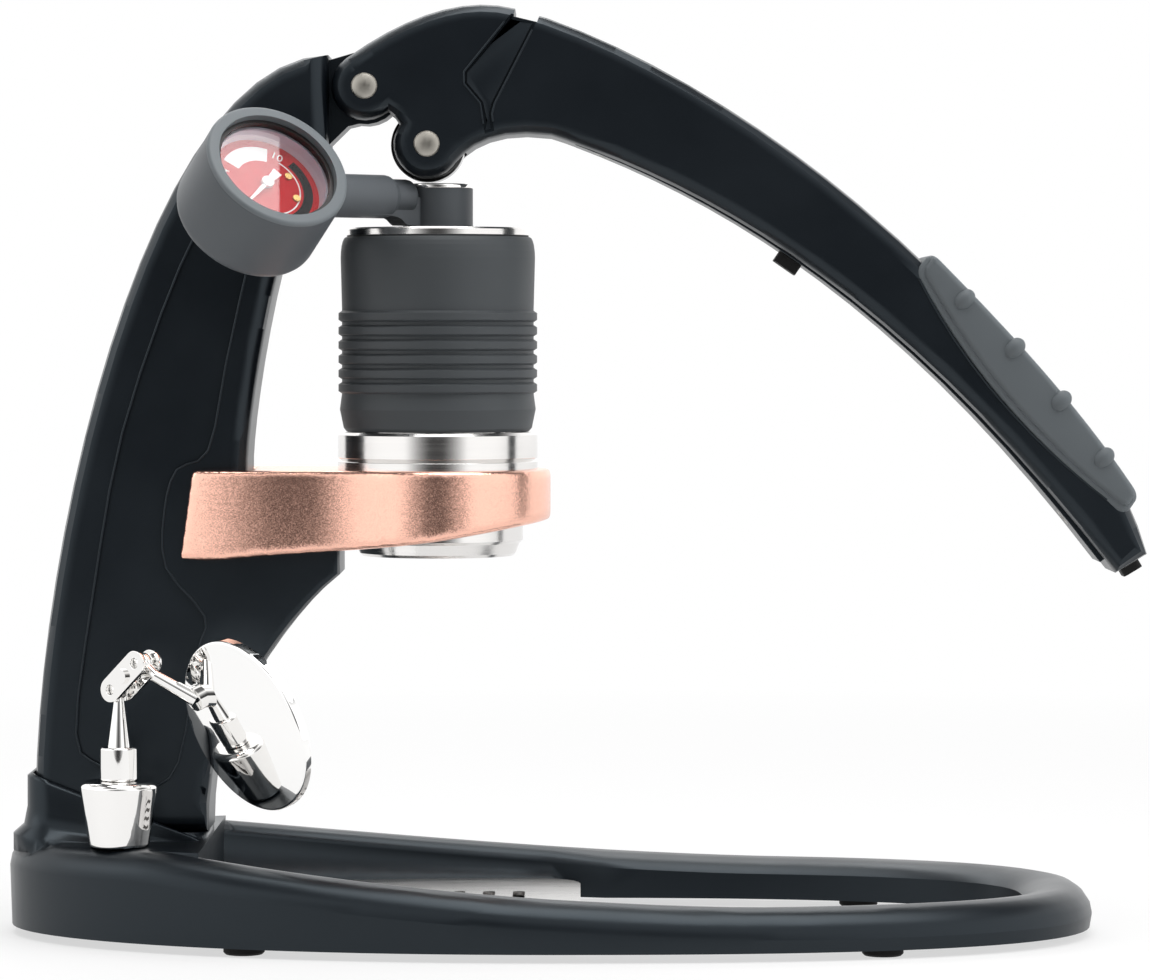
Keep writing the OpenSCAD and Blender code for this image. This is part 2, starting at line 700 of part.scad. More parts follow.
module piston() {
  bevel = 0.8;
  color("#d3d5d8") difference() {
    rotate_on_brew([[0, piston_z0], [piston_r - bevel, piston_z0], [piston_r, piston_z0 + bevel],
      each [for (z = seal_levels) each [[piston_r, piston_z0 + z - seal_d / 2 - run_gap],
        [piston_r - seal_gland, piston_z0 + z - seal_d / 2 - run_gap],
        [piston_r - seal_gland, piston_z0 + z + seal_d / 2 + run_gap],
        [piston_r, piston_z0 + z + seal_d / 2 + run_gap]]],
      [piston_r, piston_z0 + piston_h - bevel], [piston_r - bevel, piston_z0 + piston_h],
      [0, piston_z0 + piston_h]]);
    on_brew(piston_z0 + piston_h - stem_root_len)
      cylinder(d = stem_root_d + 2 * press_gap, h = stem_root_len + 1);
  }
}

module piston_seals() {
  color("#2a1512") for (z = seal_levels) on_brew(piston_z0 + z) rotate_extrude()
    translate([cylinder_bore / 2 - run_gap - seal_d / 2, 0]) circle(d = seal_d - press_gap, $fn = 24);
}

cap_spigot_d = 6;
cap_spigot_h = 6;
module plunger_stem() {
  top = stem_top - cap_h;
  r = stem_d / 2;
  z0 = piston_z0 + piston_h;
  color("#c3c5c8") difference() {
    rotate_on_brew([[0, z0 - stem_root_len + 0.5], [stem_root_d / 2, z0 - stem_root_len + 0.5],
      [stem_root_d / 2, z0], [r, z0], [r, shoulder_top - shoulder_t],
        [shoulder_d / 2, shoulder_top - shoulder_t],
      [shoulder_d / 2, shoulder_top], [r, shoulder_top], [r, top], [0, top]]);
    on_brew(top - cap_spigot_h) cylinder(d = cap_spigot_d + 2 * press_gap, h = cap_spigot_h + 1);
  }
}

module stem_cap() {
  bevel = 0.3;
  r = collar_d / 2;
  top = stem_top - cap_h;
  color("#c3c5c8") rotate_on_brew([[0, top - cap_spigot_h + 0.5],
    [cap_spigot_d / 2, top - cap_spigot_h + 0.5],
    [cap_spigot_d / 2, top], [r, top], [r, stem_top - bevel], [r - bevel, stem_top], [0, stem_top]]);
}

// The lever's side outline: two lobes, a notch between them, the hub and the long curved arm
pivot = [pivot_x, pivot_z];
roller_pin_at = [roller_x, roller_z];
lever_tip = pivot + [lever_reach, -lever_drop];
tip_low = lever_tip + [-9, -5.4];
tip_top = lever_tip + [-4.8, 13.1];
ear_top_a = 126;
ear_low_a = 300;
lobe_in_a = 145;
lobe_out_a = 320;
lobe_end = roller_pin_at + ear_r * [cos(lobe_out_a), sin(lobe_out_a)];
ear_start = pivot + ear_r * [cos(ear_top_a), sin(ear_top_a)];
arm_low_start = pivot + [53.2, -14];
arm_top_start = pivot + [51.8, 19.6];
grip_start = lever_tip + [-70.5, 89.5];
lever_outline = concat(
  arc(pivot, ear_r, ear_top_a, ear_low_a, 12),
  [roller_pin_at + [-11.1, 9.3], roller_pin_at + [-9.4, 7.9]],
  arc(roller_pin_at, ear_r, lobe_in_a, lobe_out_a, 12),
  bez([lobe_end + [0.6, 0.9], pivot + [30, -16.4], pivot + [38, -11.9], arm_low_start], 6),
  bez([arm_low_start + [4, -1.3], pivot + [102.8, -31.4], lever_tip + [-69, 72], tip_low], 18),
  [lever_tip, lever_tip + [-2.6, 8]],
  bez([tip_top, lever_tip + [-22, 40], lever_tip + [-46, 66.5], grip_start], 10),
  bez([grip_start + [-3.4, 3], grip_start + [-30.8, 27.7], pivot + [84.7, 8.1], arm_top_start], 10),
  bez([arm_top_start + [-4, 1], pivot + [32, 27.1], pivot + [14, 21.8], ear_start + [0.6, 0.45]], 10));

// Recessed neck between the hub and the arm
neck_depth = 1.1;
neck_outline = [pivot + [44.6, 24], pivot + [28.4, 4], pivot + [28.4, 0.5], pivot + [33, -5],
  pivot + [35, -18],
  pivot + [37.6, -18], pivot + [36.4, -8], pivot + [37.2, -5], pivot + [52, 24]];
neck_top = [pivot + [44.4, 30], pivot + [42.5, 19.8], pivot + [49.2, 18.2], pivot + [53, 30]];

// The strip that closes the arm's underside
cover_t = 4;
cover_half = lever_w / 2 - 7.5;
cover_curve = [pivot + [60, -16.5], pivot + [104, -33], lever_tip + [-68, 69.5],
  lever_tip + [-13, -2.6]];
cover_low = bez(cover_curve, 18);
function beside(p, d) = [for (i = [0:len(p) - 1])
  let (t = p[min(i + 1, len(p) - 1)] - p[max(i - 1, 0)]) p[i] + d * [-t[1], t[0]] / norm(t)];
function bez_at(p, t) = bez(p, 100)[round(100 * t)];
function bez_turn(p, t) = let (d = bez_at(p, t + 0.01) - bez_at(p, t - 0.01)) atan2(d[1], d[0]);
function strip(p, low, high) = concat(beside(p, low), backwards(beside(p, high)));
channel_depth = 14;
channel_run = [for (i = [3:15]) cover_low[i]];
cover_screw_at = [0.06, 0.94];
cover_screw_d = 3;
cover_screw_head_d = 5.5;
cover_screw_head_h = 2;
cover_screw_len = 8;

// Puts children at a share of the way along the cover, with Z pointing into the arm
module on_cover(t) {
  p = bez_at(cover_curve, t);
  translate([p[0], 0, p[1]]) rotate([0, -bez_turn(cover_curve, t), 0]) children();
}

// The grip's outline, and the core of the arm that it wraps
grip_proud = 0.9;
grip_side = 2.2;
core_half = lever_w / 2 - grip_side;
grip_low = bez([lever_tip + [-65.1, 78.4], lever_tip + [-56.2, 61], lever_tip + [-41.2, 37],
  lever_tip + [-7.1, 12.2]], 10);
grip_top = bez([lever_tip + [-3.7, 16.1], lever_tip + [-20.2, 39], lever_tip + [-41.2, 63],
  lever_tip + [-63.4, 84.1]], 10);
grip_outline = concat(grip_low, grip_top);
function seat_outline(d) = concat([for (p = grip_top) p - d * [0.66, 0.75]],
  [lever_tip + [-80, 80], lever_tip + [-80, 40], lever_tip + [-20, 0]]);

module pin_bore(p) {
  half = lever_w / 2;
  cross_bore(p[0], p[1], pin_d + 2 * press_gap, -half - 1, half + 1);
  for (side = [-1, 1]) cross_bore(p[0], p[1], pin_head_d + 2 * press_gap, side * half - pin_sink,
    side * half + pin_sink);
}

module lever_casting() {
  half = lever_w / 2;
  slot_half = tongue_thick / 2 + free_gap;
  color("#1b1c1f") difference() {
    difference() {
      pillow(lever_outline, half, lever_edge_r);
      translate([0, slot_half, 0]) rotate([90, 0, 0]) linear_extrude(2 * slot_half) union() {
        translate(pivot - [2 * ear_r, 3 * ear_r]) square([2 * ear_r + tongue_r + free_gap, 6 * ear_r]);
        translate(roller_pin_at) circle(r = roller_r + free_gap);
        translate(roller_pin_at - [roller_r + free_gap, 2 * roller_r]) square([roller_r, 2 * roller_r]);
      }
      for (side = [-1, 1]) translate([0, side * (half + 4 - neck_depth), 0]) slab(neck_outline, 4);
      slab(neck_top, half + 1);
      slab(strip(cover_low, -6, cover_t + fit_gap), cover_half + fit_gap);
      slab(strip(channel_run, 0, channel_depth), cover_half - 2);
      difference() {
        slab(inset(grip_outline, -fit_gap), half + 4);
        slab(seat_outline(grip_t + fit_gap), core_half - fit_gap);
      }
      for (t = cover_screw_at) on_cover(t)
        cylinder(d = cover_screw_d + 2 * press_gap, h = cover_t + cover_screw_len);
    }
    pin_bore(pivot);
    pin_bore(roller_pin_at);
  }
}

module lever_cover() {
  color("#232427") difference() {
    slab(strip(cover_low, 0, cover_t), cover_half);
    for (t = cover_screw_at) on_cover(t) translate([0, 0, -1]) {
      cylinder(d = cover_screw_d + 2 * fit_gap, h = cover_t + 3);
      cylinder(d = cover_screw_head_d + 2 * fit_gap, h = cover_screw_head_h + 1);
    }
  }
}

module cover_screws() {
  color("#8d9094") for (t = cover_screw_at) on_cover(t)
    cap_screw(cover_screw_d, cover_t - cover_screw_head_h + cover_screw_len - 1, cover_screw_head_d,
      cover_screw_head_h);
}

// Soft pad over the lever's end, with four ridges across its top
ridge_r = 2.6;
ridge_half = 9;
ridge_at = [0.13, 0.38, 0.62, 0.86];
grip_top_curve = [lever_tip + [-3.7, 16.1], lever_tip + [-20.2, 39], lever_tip + [-41.2, 63],
  lever_tip + [-63.4, 84.1]];
module lever_grip() {
  sink = 1.4;
  color("#55575b") difference() {
    union() {
      pillow(grip_outline, lever_w / 2 + grip_proud, 3);
      for (t = ridge_at) let (p = bez_at(grip_top_curve, t) - sink * [0.66, 0.75])
        translate([p[0], 0, p[1]]) rotate([90, 0, 0]) rotate_extrude($fn = 24)
          polygon(concat([[0, -ridge_half]], arc([0, -ridge_half + ridge_r], ridge_r, -80, 0, 4),
            arc([0, ridge_half - ridge_r], ridge_r, 0, 80, 4), [[0, ridge_half]]));
    }
    slab(seat_outline(grip_t), core_half);
  }
}

// Rubber stops: one under the arm and one at the tip
module lever_bumpers() {
  arm_stop_at = 0.44;
  stop_len = 7.5;
  stop_h = 3.2;
  stop_half = 5;
  stop_gap = 0.1;
  tip_len = 6;
  tip_turn = atan2(5.4, 9);
  color("#141414") {
    on_cover(arm_stop_at) translate([0, 0, -stop_h - stop_gap]) linear_extrude(stop_h)
      polygon(round_box(-stop_len / 2, stop_len / 2, stop_half, 1.5, 4));
    translate([(lever_tip[0] + tip_low[0]) / 2, 0, (lever_tip[1] + tip_low[1]) / 2])
      rotate([0, -tip_turn, 0])
      translate([0, 0, -stop_h]) linear_extrude(stop_h)
        polygon(round_box(-tip_len / 2, tip_len / 2, stop_half, 1.5, 4));
  }
}

// Barrel pin: a head in one ear, a shank through both, and a bore for the screw cap
cap_root_d = 3;
cap_root_len = 8;
pin_head_t = 2.2;
module barrel_pin(p) {
  half = lever_w / 2;
  seat = half - pin_sink;
  shank_end = seat - press_gap;
  difference() {
    union() {
      cross_bore(p[0], p[1], pin_head_d, -seat - pin_head_t, -seat);
      cross_bore(p[0], p[1], pin_d, -seat, shank_end);
    }
    cross_bore(p[0], p[1], cap_root_d + 2 * press_gap, shank_end - cap_root_len - 1, half);
    translate([p[0], -seat - pin_head_t / 2, p[1]]) rotate([90, 0, 0])
      cylinder(d = pin_head_d * 0.5, h = pin_head_t, $fn = 6);
  }
}

module screw_cap(p) {
  seat = lever_w / 2 - pin_sink;
  cross_bore(p[0], p[1], pin_head_d, seat, seat + pin_head_t);
  cross_bore(p[0], p[1], cap_root_d, seat - cap_root_len, seat);
}

module pivot_pin() {
  color("#a8a59c") barrel_pin(pivot);
}

module pivot_pin_cap() {
  color("#a8a59c") screw_cap(pivot);
}

module roller_pin() {
  color("#a8a59c") barrel_pin(roller_pin_at);
}

module roller_pin_cap() {
  color("#a8a59c") screw_cap(roller_pin_at);
}

// The roller turns on a bush between two washers
roller_bush_wall = 1.5;
side_play = 0.1;
module roller_washers() {
  t = tongue_thick / 2 + free_gap - roller_w / 2 - 2 * side_play;
  color("#d8d6cf") for (side = [-1, 1]) let (y = side * (roller_w / 2 + side_play + t / 2))
    difference() {
    cross_bore(roller_x, roller_z, pin_d + 6, y - t / 2, y + t / 2);
    cross_bore(roller_x, roller_z, pin_d + 2 * run_gap, y - t, y + t);
  }
}

module press_roller() {
  bevel = 0.8;
  inner = pin_d / 2 + roller_bush_wall + press_gap;
  h = roller_w / 2;
  color("#131314") translate([roller_x, 0, roller_z]) rotate([90, 0, 0]) rotate_extrude()
    polygon([[inner, -h], [roller_r - bevel, -h], [roller_r, bevel - h], [roller_r, h - bevel],
      [roller_r - bevel, h],
      [inner, h]]);
}

module roller_bush() {
  color("#b88746") difference() {
    cross_bore(roller_x, roller_z, pin_d + 2 * roller_bush_wall, -roller_w / 2, roller_w / 2);
    cross_bore(roller_x, roller_z, pin_d + 2 * run_gap, -roller_w, roller_w);
  }
}

// The gauge's place: beside the post, on an arm that swings round the stem
arm_below_cap = 2.7;
arm_z = rim_top + collar_h - arm_below_cap;
gauge_n = [sin(gauge_tilt) * sin(gauge_turn), -sin(gauge_tilt) * cos(gauge_turn), cos(gauge_tilt)];
gauge_side = gauge_depth / 2 * abs(gauge_n[1]) + gauge_d / 2 * sqrt(1 - gauge_n[1] * gauge_n[1]);
gauge_y = post_thick / 2 + gauge_gap + gauge_side;
gauge_mid = [brew_x - gauge_back, -gauge_y, arm_z];
arm_a = atan2(-gauge_y, -gauge_back);
arm_len = norm([gauge_back, gauge_y]);

// X along the arm from the brew axis, at the arm's height
module along_arm() {
  translate([brew_x, 0, arm_z]) rotate([0, 0, arm_a]) children();
}

// X to the right of the gauge's face, Y up it, Z out of it, from the middle of the housing
module on_gauge() {
  translate(gauge_mid) rotate([0, gauge_tilt, gauge_turn - 90]) rotate([0, 0, 90]) children();
}

gauge_r = gauge_d / 2;
gauge_front = gauge_depth / 2;
gauge_wall = 3.4;
lens_r = gauge_r - gauge_wall - 0.1;
lens_t = 1.6;
lens_z = gauge_front - 5;
dial_r = lens_r - 0.7;
dial_t = 0.8;
dial_z = lens_z - 5.6;
well_r = dial_r - 0.8;
floor_t = 3;
nipple_d = 4;
nipple_len = 5;
arm_end = arm_len - well_r - 0.6;
collar_gap = 0.3;
collar_top = rim_top + collar_h - 0.05;
ring_seal_d = 2;
ring_seal_levels = [3.2, 8.2];

module gauge_arm() {
  r = arm_d / 2;
  lever_room = 17.6;
  low_r = r - 1.1;
  start = 10.5;
  channel_d = 3;
  web_half = 3.5;
  web_low = rim_top + 2 * collar_gap - arm_z;
  color("#4f5256") difference() {
    union() {
      on_brew(rim_top + collar_gap) cylinder(d = collar_d, h = collar_top - rim_top - collar_gap);
      along_arm() {
        rotate([0, 90, 0]) rotate_extrude() polygon(concat([[0, start]],
          arc([low_r - 2, start + 2], 2, -90, 0, 4), [[low_r, lever_room]],
          bez([[low_r, lever_room + 0.3], [low_r + 0.2, lever_room + 1.5], [r, lever_room + 1.6],
            [r, lever_room + 3]], 4),
          [[r, arm_end], [0, arm_end]]));
        slab(concat([[collar_d / 2 - 3, 0], [collar_d / 2 - 3, web_low], [collar_d / 2 + 4, web_low]],
          bez([[collar_d / 2 + 5, web_low + 0.6], [collar_d / 2 + 7, web_low + 3],
            [collar_d / 2 + 11, 1 - r],
            [collar_d / 2 + 18, 1 - r]], 6), [[collar_d / 2 + 18, 0]]), web_half);
      }
    }
    on_brew(rim_top) cylinder(d = stem_d + 2 * run_gap, h = collar_h + 1);
    for (z = ring_seal_levels) on_brew(rim_top + z - ring_seal_d / 2 - run_gap)
      cylinder(d = stem_d + 2 * run_gap + 2 * ring_seal_d, h = ring_seal_d + 2 * run_gap);
    along_arm() rotate([0, 90, 0]) {
      cylinder(d = channel_d, h = arm_end + 1);
      translate([0, 0, arm_end - nipple_len]) cylinder(d = nipple_d + 2 * press_gap,
        h = nipple_len + 1);
    }
  }
}

module collar_seals() {
  color("#2a1512") for (z = ring_seal_levels) on_brew(rim_top + z) rotate_extrude()
    translate([stem_d / 2 + run_gap + ring_seal_d / 2, 0])
      circle(d = ring_seal_d - press_gap, $fn = 24);
}

module gauge_housing() {
  edge = 1.4;
  back = 3.5;
  color("#4f5256") difference() {
    on_gauge() rotate_extrude() polygon(concat([[0, -gauge_front]],
      arc([gauge_r - back, back - gauge_front], back, -90, 0, 5),
        arc([gauge_r - edge, gauge_front - edge], edge, 0, 90, 4),
      [[gauge_r - gauge_wall, gauge_front - 0.4], [gauge_r - gauge_wall, lens_z],
        [dial_r + 0.1, lens_z], [dial_r + 0.1, dial_z],
        [well_r, dial_z], [well_r, floor_t - gauge_front], [0, floor_t - gauge_front]]));
    along_arm() rotate([0, 90, 0]) cylinder(d = arm_d + 2 * press_gap, h = arm_len - well_r + 2);
  }
}

// A turned ring on the gauge's axis
module gauge_ring(r0, r1, z0, z1) {
  on_gauge() translate([0, 0, z0]) difference() {
    cylinder(r = r1, h = z1 - z0);
    translate([0, 0, -1]) cylinder(r = r0, h = z1 - z0 + 2);
  }
}

module gauge_bezel() {
  color("#16171a") gauge_ring(lens_r - 1.1, lens_r, lens_z + lens_t, lens_z + lens_t + 1.4);
}

module gauge_lens() {
  color("#dfe8ec", 0.4) on_gauge() translate([0, 0, lens_z]) cylinder(r = lens_r, h = lens_t);
}

module gauge_spacer() {
  color("#d9d6e0") gauge_ring(dial_r - 0.7, dial_r, dial_z + dial_t, lens_z);
}

// Two brass screws hold the dial to the movement
dial_screw_at = [[8, 2.9], [8, -4.9]];
dial_screw_d = 1.2;
dial_screw_head = [2.2, 0.6];
arbor_d = 1.4;
plate_t = 0.8;
plate_top = dial_z - 2.2;
plate_gap = 5.6;

module gauge_dial() {
  color("#b5202a") on_gauge() translate([0, 0, dial_z]) difference() {
    cylinder(r = dial_r, h = dial_t);
    translate([0, 0, -1]) cylinder(d = arbor_d + 1, h = dial_t + 2);
    for (p = dial_screw_at) translate([p[0], p[1], -1])
      cylinder(d = dial_screw_d + 2 * press_gap, h = dial_t + 2);
  }
}

module dial_screws() {
  foot = plate_top - plate_t;
  color("#c9a44c") on_gauge() for (p = dial_screw_at) translate([p[0], p[1], 0]) {
    translate([0, 0, foot]) cylinder(d = dial_screw_d, h = dial_z + dial_t - foot);
    translate([0, 0, dial_z + dial_t]) cylinder(d = dial_screw_head[0], h = dial_screw_head[1]);
  }
}

// Brass block that the arm's nipple feeds, with the curved spring tube
tube_r = dial_r - 3.9;
tube_z = plate_top - 3.5;
tube_half = [1, 2];
socket_x = [tube_r - 2.6, tube_r + 1.9];
module gauge_socket() {
  half = 3.4;
  z0 = floor_t - gauge_front;
  color("#b08d4a") difference() {
    union() {
      on_gauge() translate([socket_x[0], -half, z0])
        cube([socket_x[1] - socket_x[0], 2 * half, tube_z + 3 - z0]);
      along_arm() rotate([0, 90, 0]) translate([0, 0, arm_end - nipple_len + 0.5])
        cylinder(d = nipple_d, h = arm_len - socket_x[1] - arm_end + nipple_len);
    }
    on_gauge() bourdon_sweep(tube_half + [press_gap, press_gap]);
  }
}

// Oval tube bent round the gauge's axis, from the socket
tube_start = 9;
tube_sweep = 255;
module bourdon_sweep(size) {
  oval = [for (k = [0:15]) [tube_r + size[0] * cos(22.5 * k), size[1] * sin(22.5 * k)]];
  translate([0, 0, tube_z]) rotate([0, 0, tube_start]) rotate_extrude(angle = tube_sweep) polygon(oval);
}

module bourdon_tube() {
  color("#c29a55") on_gauge() bourdon_sweep(tube_half);
}

// Movement: two plates on pillars, a toothed sector and the needle's pinion
sector_r = 6.4;
pinion_r = 1.6;
sector_at = [-sector_r - pinion_r, 0];
pillar_at = [[4.5, 4.5], [4.5, -4.5], [sector_at[0] - 1.5, 5], [sector_at[0] - 1.5, -5]];
sector_pin_d = 1.2;
gear_z = plate_top - plate_t - 3.4;
module gauge_movement() {
  pillar_d = 1.6;
  floor_z = floor_t - gauge_front;
  low = plate_top - plate_t - plate_gap;
  color("#c9a44c") on_gauge() {
    difference() {
      for (z = [low, plate_top - plate_t]) translate([0, 0, z]) linear_extrude(plate_t) difference() {
        polygon(round_box(sector_at[0] - 2.6, 9.4, 6.2, 1.5, 4));
        circle(d = arbor_d + 2 * run_gap);
        translate(sector_at) circle(d = sector_pin_d + 2 * run_gap);
        if (z > low) for (p = dial_screw_at) translate(p) circle(d = dial_screw_d + 2 * press_gap);
      }
      translate([tube_r - 4, -6, low - 1]) cube([8, 12, plate_t + 2]);
    }
    for (p = pillar_at) translate([p[0], p[1], floor_z])
      cylinder(d = pillar_d, h = plate_top - plate_t / 2 - floor_z);
  }
}

// Toothed outline: teeth at whole steps from the given start angle
function teeth(r, count, first, step) = [for (k = [0:count - 1]) let (a = first + k * step) each [
  (r - 0.42) * [cos(a - 0.3 * step), sin(a - 0.3 * step)],
    (r + 0.26) * [cos(a - 0.12 * step), sin(a - 0.12 * step)],
  (r + 0.26) * [cos(a + 0.12 * step), sin(a + 0.12 * step)],
    (r - 0.42) * [cos(a + 0.3 * step), sin(a + 0.3 * step)]]];
pinion_teeth = 10;
sector_step = 360 / pinion_teeth * pinion_r / sector_r;
module sector_gear() {
  hub_d = 2.8;
  t = 1.2;
  color("#b8985a") on_gauge() translate([sector_at[0], sector_at[1], 0]) {
    translate([0, 0, gear_z]) linear_extrude(t) union() {
      polygon(concat([[0, 0]], teeth(sector_r, 11, -8.5 * sector_step, sector_step)));
      circle(d = hub_d);
    }
    translate([0, 0, plate_top - plate_gap - plate_t - 0.6])
      cylinder(d = sector_pin_d, h = plate_gap + plate_t + 0.4);
  }
}

needle_rest = 220;
module gauge_needle() {
  blade_z = dial_z + dial_t + 1.2;
  blade_t = 0.4;
  tip = 13;
  tail = 5.5;
  hub_d = 3.6;
  color("#f2f2f2") on_gauge() {
    rotate([0, 0, needle_rest]) translate([0, 0, blade_z]) linear_extrude(blade_t)
      polygon([[tip, -0.15], [tip, 0.15], [1, 0.7], [-1, 0.8], [-tail, 1.5], [-tail, -1.5],
        [-1, -0.8], [1, -0.7]]);
    translate([0, 0, blade_z - 0.3]) cylinder(d = hub_d, h = 1);
    translate([0, 0, plate_top - plate_gap - plate_t - 0.6])
      cylinder(d = arbor_d, h = blade_z - plate_top + plate_gap + plate_t + 0.6);
    translate([0, 0, gear_z - 0.4]) linear_extrude(2)
      polygon(teeth(pinion_r, pinion_teeth, 0, 360 / pinion_teeth));
  }
}

// The mirror's foot stands on the deck; a stud and two clamped balls carry the mirror
foot_low_d = mirror_foot_d - 5;
mirror_at = [base_x0 + mirror_x, -(socket_half + socket_fillet + mirror_gap + foot_low_d / 2)];
mirror_z0 = deck_h + 0.1;
magnet_d = 12;
magnet_h = 3;
mirror_collar_d = 10.7;
mirror_collar_h = 9.5;
stud_h = 16.2;
stud_low_d = 6.5;
stud_top_d = 2.8;
stud_root_d = 4;
stud_root_len = 7;
foot_top = mirror_z0 + mirror_foot_h;
collar_end = foot_top + mirror_collar_h;
ball_low = [mirror_at[0], mirror_at[1], collar_end + stud_h];

// The link lies in an upright plane turned towards the viewer
link_turn = -36.9;
link_rise = 40.6;
link_dir = [cos(link_rise) * cos(link_turn), cos(link_rise) * sin(link_turn), sin(link_rise)];
ball_high = ball_low + link_len * link_dir;

// The mirror faces up and forwards; the arm meets its back near the rim
mirror_az = 40.9;
mirror_el = 19.7;
mirror_t = 3;
lug_at = [-8.1, 16];
arm_knee = ball_high + [4.2, -3.2, -3.8];
arm_foot = ball_high + [16.1, -0.2, -9.3];
function turn_to(v, b, c) = let (x = cos(b) * v[0] + sin(b) * v[2], z = cos(b) * v[2] - sin(b) * v[0])
  [cos(c) * x - sin(c) * v[1], sin(c) * x + cos(c) * v[1], z];
mirror_mid = arm_foot - turn_to([lug_at[0], lug_at[1], -mirror_t / 2], 90 - mirror_el, mirror_az);

module on_mirror() {
  translate(mirror_mid) rotate([0, 90 - mirror_el, mirror_az]) children();
}

module on_foot(z) {
  translate([mirror_at[0], mirror_at[1], z]) children();
}

module mirror_foot() {
  low = foot_low_d / 2;
  wide = mirror_foot_d / 2;
  round_r = 2.2;
  lead = 0.6;
  color("#d4d5d6") on_foot(mirror_z0) rotate_extrude() polygon(concat(
    [[0, magnet_h], [magnet_d / 2 + fit_gap, magnet_h], [magnet_d / 2 + fit_gap, 0], [low - lead, 0],
      [low, lead]],
    arc([wide - round_r, mirror_foot_h - round_r], round_r, 5, 90, 6), [[0, mirror_foot_h]]));
}

module mirror_magnet() {
  color("#7d7f82") on_foot(mirror_z0) cylinder(d = magnet_d, h = magnet_h - press_gap);
}

module mirror_collar() {
  r = mirror_collar_d / 2;
  bevel = 0.4;
  color("#d4d5d6") on_foot(foot_top) rotate_extrude()
    polygon([[stud_root_d / 2 + press_gap, 0], [r - bevel, 0], [r, bevel],
    [r, mirror_collar_h - bevel], [r - bevel, mirror_collar_h],
      [stud_root_d / 2 + press_gap, mirror_collar_h]]);
}

module mirror_stud() {
  r = ball_d / 2;
  top_r = stud_top_d / 2;
  join_a = -acos(top_r / r);
  color("#d4d5d6") on_foot(0) rotate_extrude() polygon(concat(
    [[0, collar_end - stud_root_len], [stud_root_d / 2, collar_end - stud_root_len],
      [stud_root_d / 2, collar_end],
      [stud_low_d / 2, collar_end]],
    arc([0, collar_end + stud_h], r, join_a, 90, 10)));
}

// X along the link from its middle, Z across the plates
module on_link() {
  translate((ball_low + ball_high) / 2) rotate([0, 0, link_turn]) rotate([0, -link_rise, 0])
    rotate([90, 0, 0]) children();
}

plate_w = 7;
link_plate_t = 1.4;
ball_bite = 0.3;
plate_in = ball_d / 2 - ball_bite;
link_screw_d = 2.4;
module link_plates() {
  seat_d = 2 * sqrt(pow(ball_d / 2, 2) - plate_in * plate_in) + 2 * fit_gap;
  half = link_len / 2;
  color("#cfcac4") on_link() for (z = [plate_in, -plate_in - link_plate_t]) translate([0, 0, z])
    linear_extrude(link_plate_t)
    difference() {
      union() {
        square([link_len, plate_w], center = true);
        for (side = [-1, 1]) translate([side * half, 0]) circle(d = plate_w);
      }
      circle(d = link_screw_d + 2 * fit_gap);
      for (side = [-1, 1]) translate([side * half, 0]) circle(d = seat_d);
    }
}

module link_screw() {
  head_d = 4.4;
  head_t = 1;
  reach = plate_in + link_plate_t;
  color("#bdb8b0") on_link() {
    translate([0, 0, -reach]) cylinder(d = link_screw_d, h = 2 * reach);
    translate([0, 0, reach]) cylinder(d = head_d, h = head_t);
    translate([0, 0, -reach - head_t]) cylinder(d = head_d, h = head_t, $fn = 6);
  }
}

// A child drawn along Z, laid from one point towards another
module laid(p, q) {
  v = q - p;
  translate(p) rotate([0, acos(v[2] / norm(v)), atan2(v[1], v[0])]) children();
}

// Ball and rod to the knee, then a tapered rod into a lug on the mirror's back
mirror_n = turn_to([0, 0, 1], 90 - mirror_el, mirror_az);
module mirror_arm() {
  r = ball_d / 2;
  rod_r = 1.3;
  knee_r = 1.7;
  end_r = 2.2;
  lug_d = 7;
  lug_t = 2.6;
  sink = 2;
  over = 1.2;
  end = arm_foot - sink * mirror_n;
  color("#cfcac4") union() {
    laid(ball_high, arm_knee) rotate_extrude()
      polygon(concat([[0, -r]], arc([0, 0], r, -80, acos(rod_r / r), 10),
      [[rod_r, norm(arm_knee - ball_high)], [0, norm(arm_knee - ball_high) + over]]));
    laid(arm_knee - over * (end - arm_knee) / norm(end - arm_knee), end)
      cylinder(r1 = knee_r, r2 = end_r, h = norm(end - arm_knee) + over);
    on_mirror() translate([lug_at[0], lug_at[1], -mirror_t / 2 - lug_t]) cylinder(d = lug_d, h = lug_t);
  }
}

glass_t = 1.8;
glass_in = 1.4;
module mirror_back() {
  r = mirror_d / 2;
  edge = 0.8;
  h = mirror_t / 2;
  color("#d4d5d6") on_mirror() rotate_extrude()
    polygon([[0, -h], [r - edge, -h], [r, edge - h], [r, h - edge / 2],
    [r - edge / 2, h], [r - glass_in, h], [r - glass_in, h - glass_t], [0, h - glass_t]]);
}

module mirror_glass() {
  color("#e8ecef") on_mirror() translate([0, 0, mirror_t / 2 - glass_t])
    cylinder(r = mirror_d / 2 - glass_in - fit_gap, h = glass_t - 0.2);
}

base_frame();
base_feet();
drip_pan();
drip_grate();
tower_post();
tower_screw();
tower_washer();
pivot_bushes();
holder_arm();
holder_screws();
portafilter_body();
portafilter_spout();
filter_basket();
cylinder_seal();
brew_cylinder();
dispersion_screen();
cylinder_sleeve();
lever_casting();
lever_cover();
cover_screws();
lever_grip();
lever_bumpers();
pivot_pin();
pivot_pin_cap();
roller_pin();
roller_pin_cap();
roller_washers();
press_roller();
roller_bush();
piston();
piston_seals();
plunger_stem();
stem_cap();
gauge_arm();
collar_seals();
gauge_housing();
gauge_bezel();
gauge_lens();
gauge_spacer();
gauge_dial();
dial_screws();
gauge_socket();
bourdon_tube();
gauge_movement();
sector_gear();
gauge_needle();
mirror_foot();
mirror_magnet();
mirror_collar();
mirror_stud();
link_plates();
link_screw();
mirror_arm();
mirror_back();
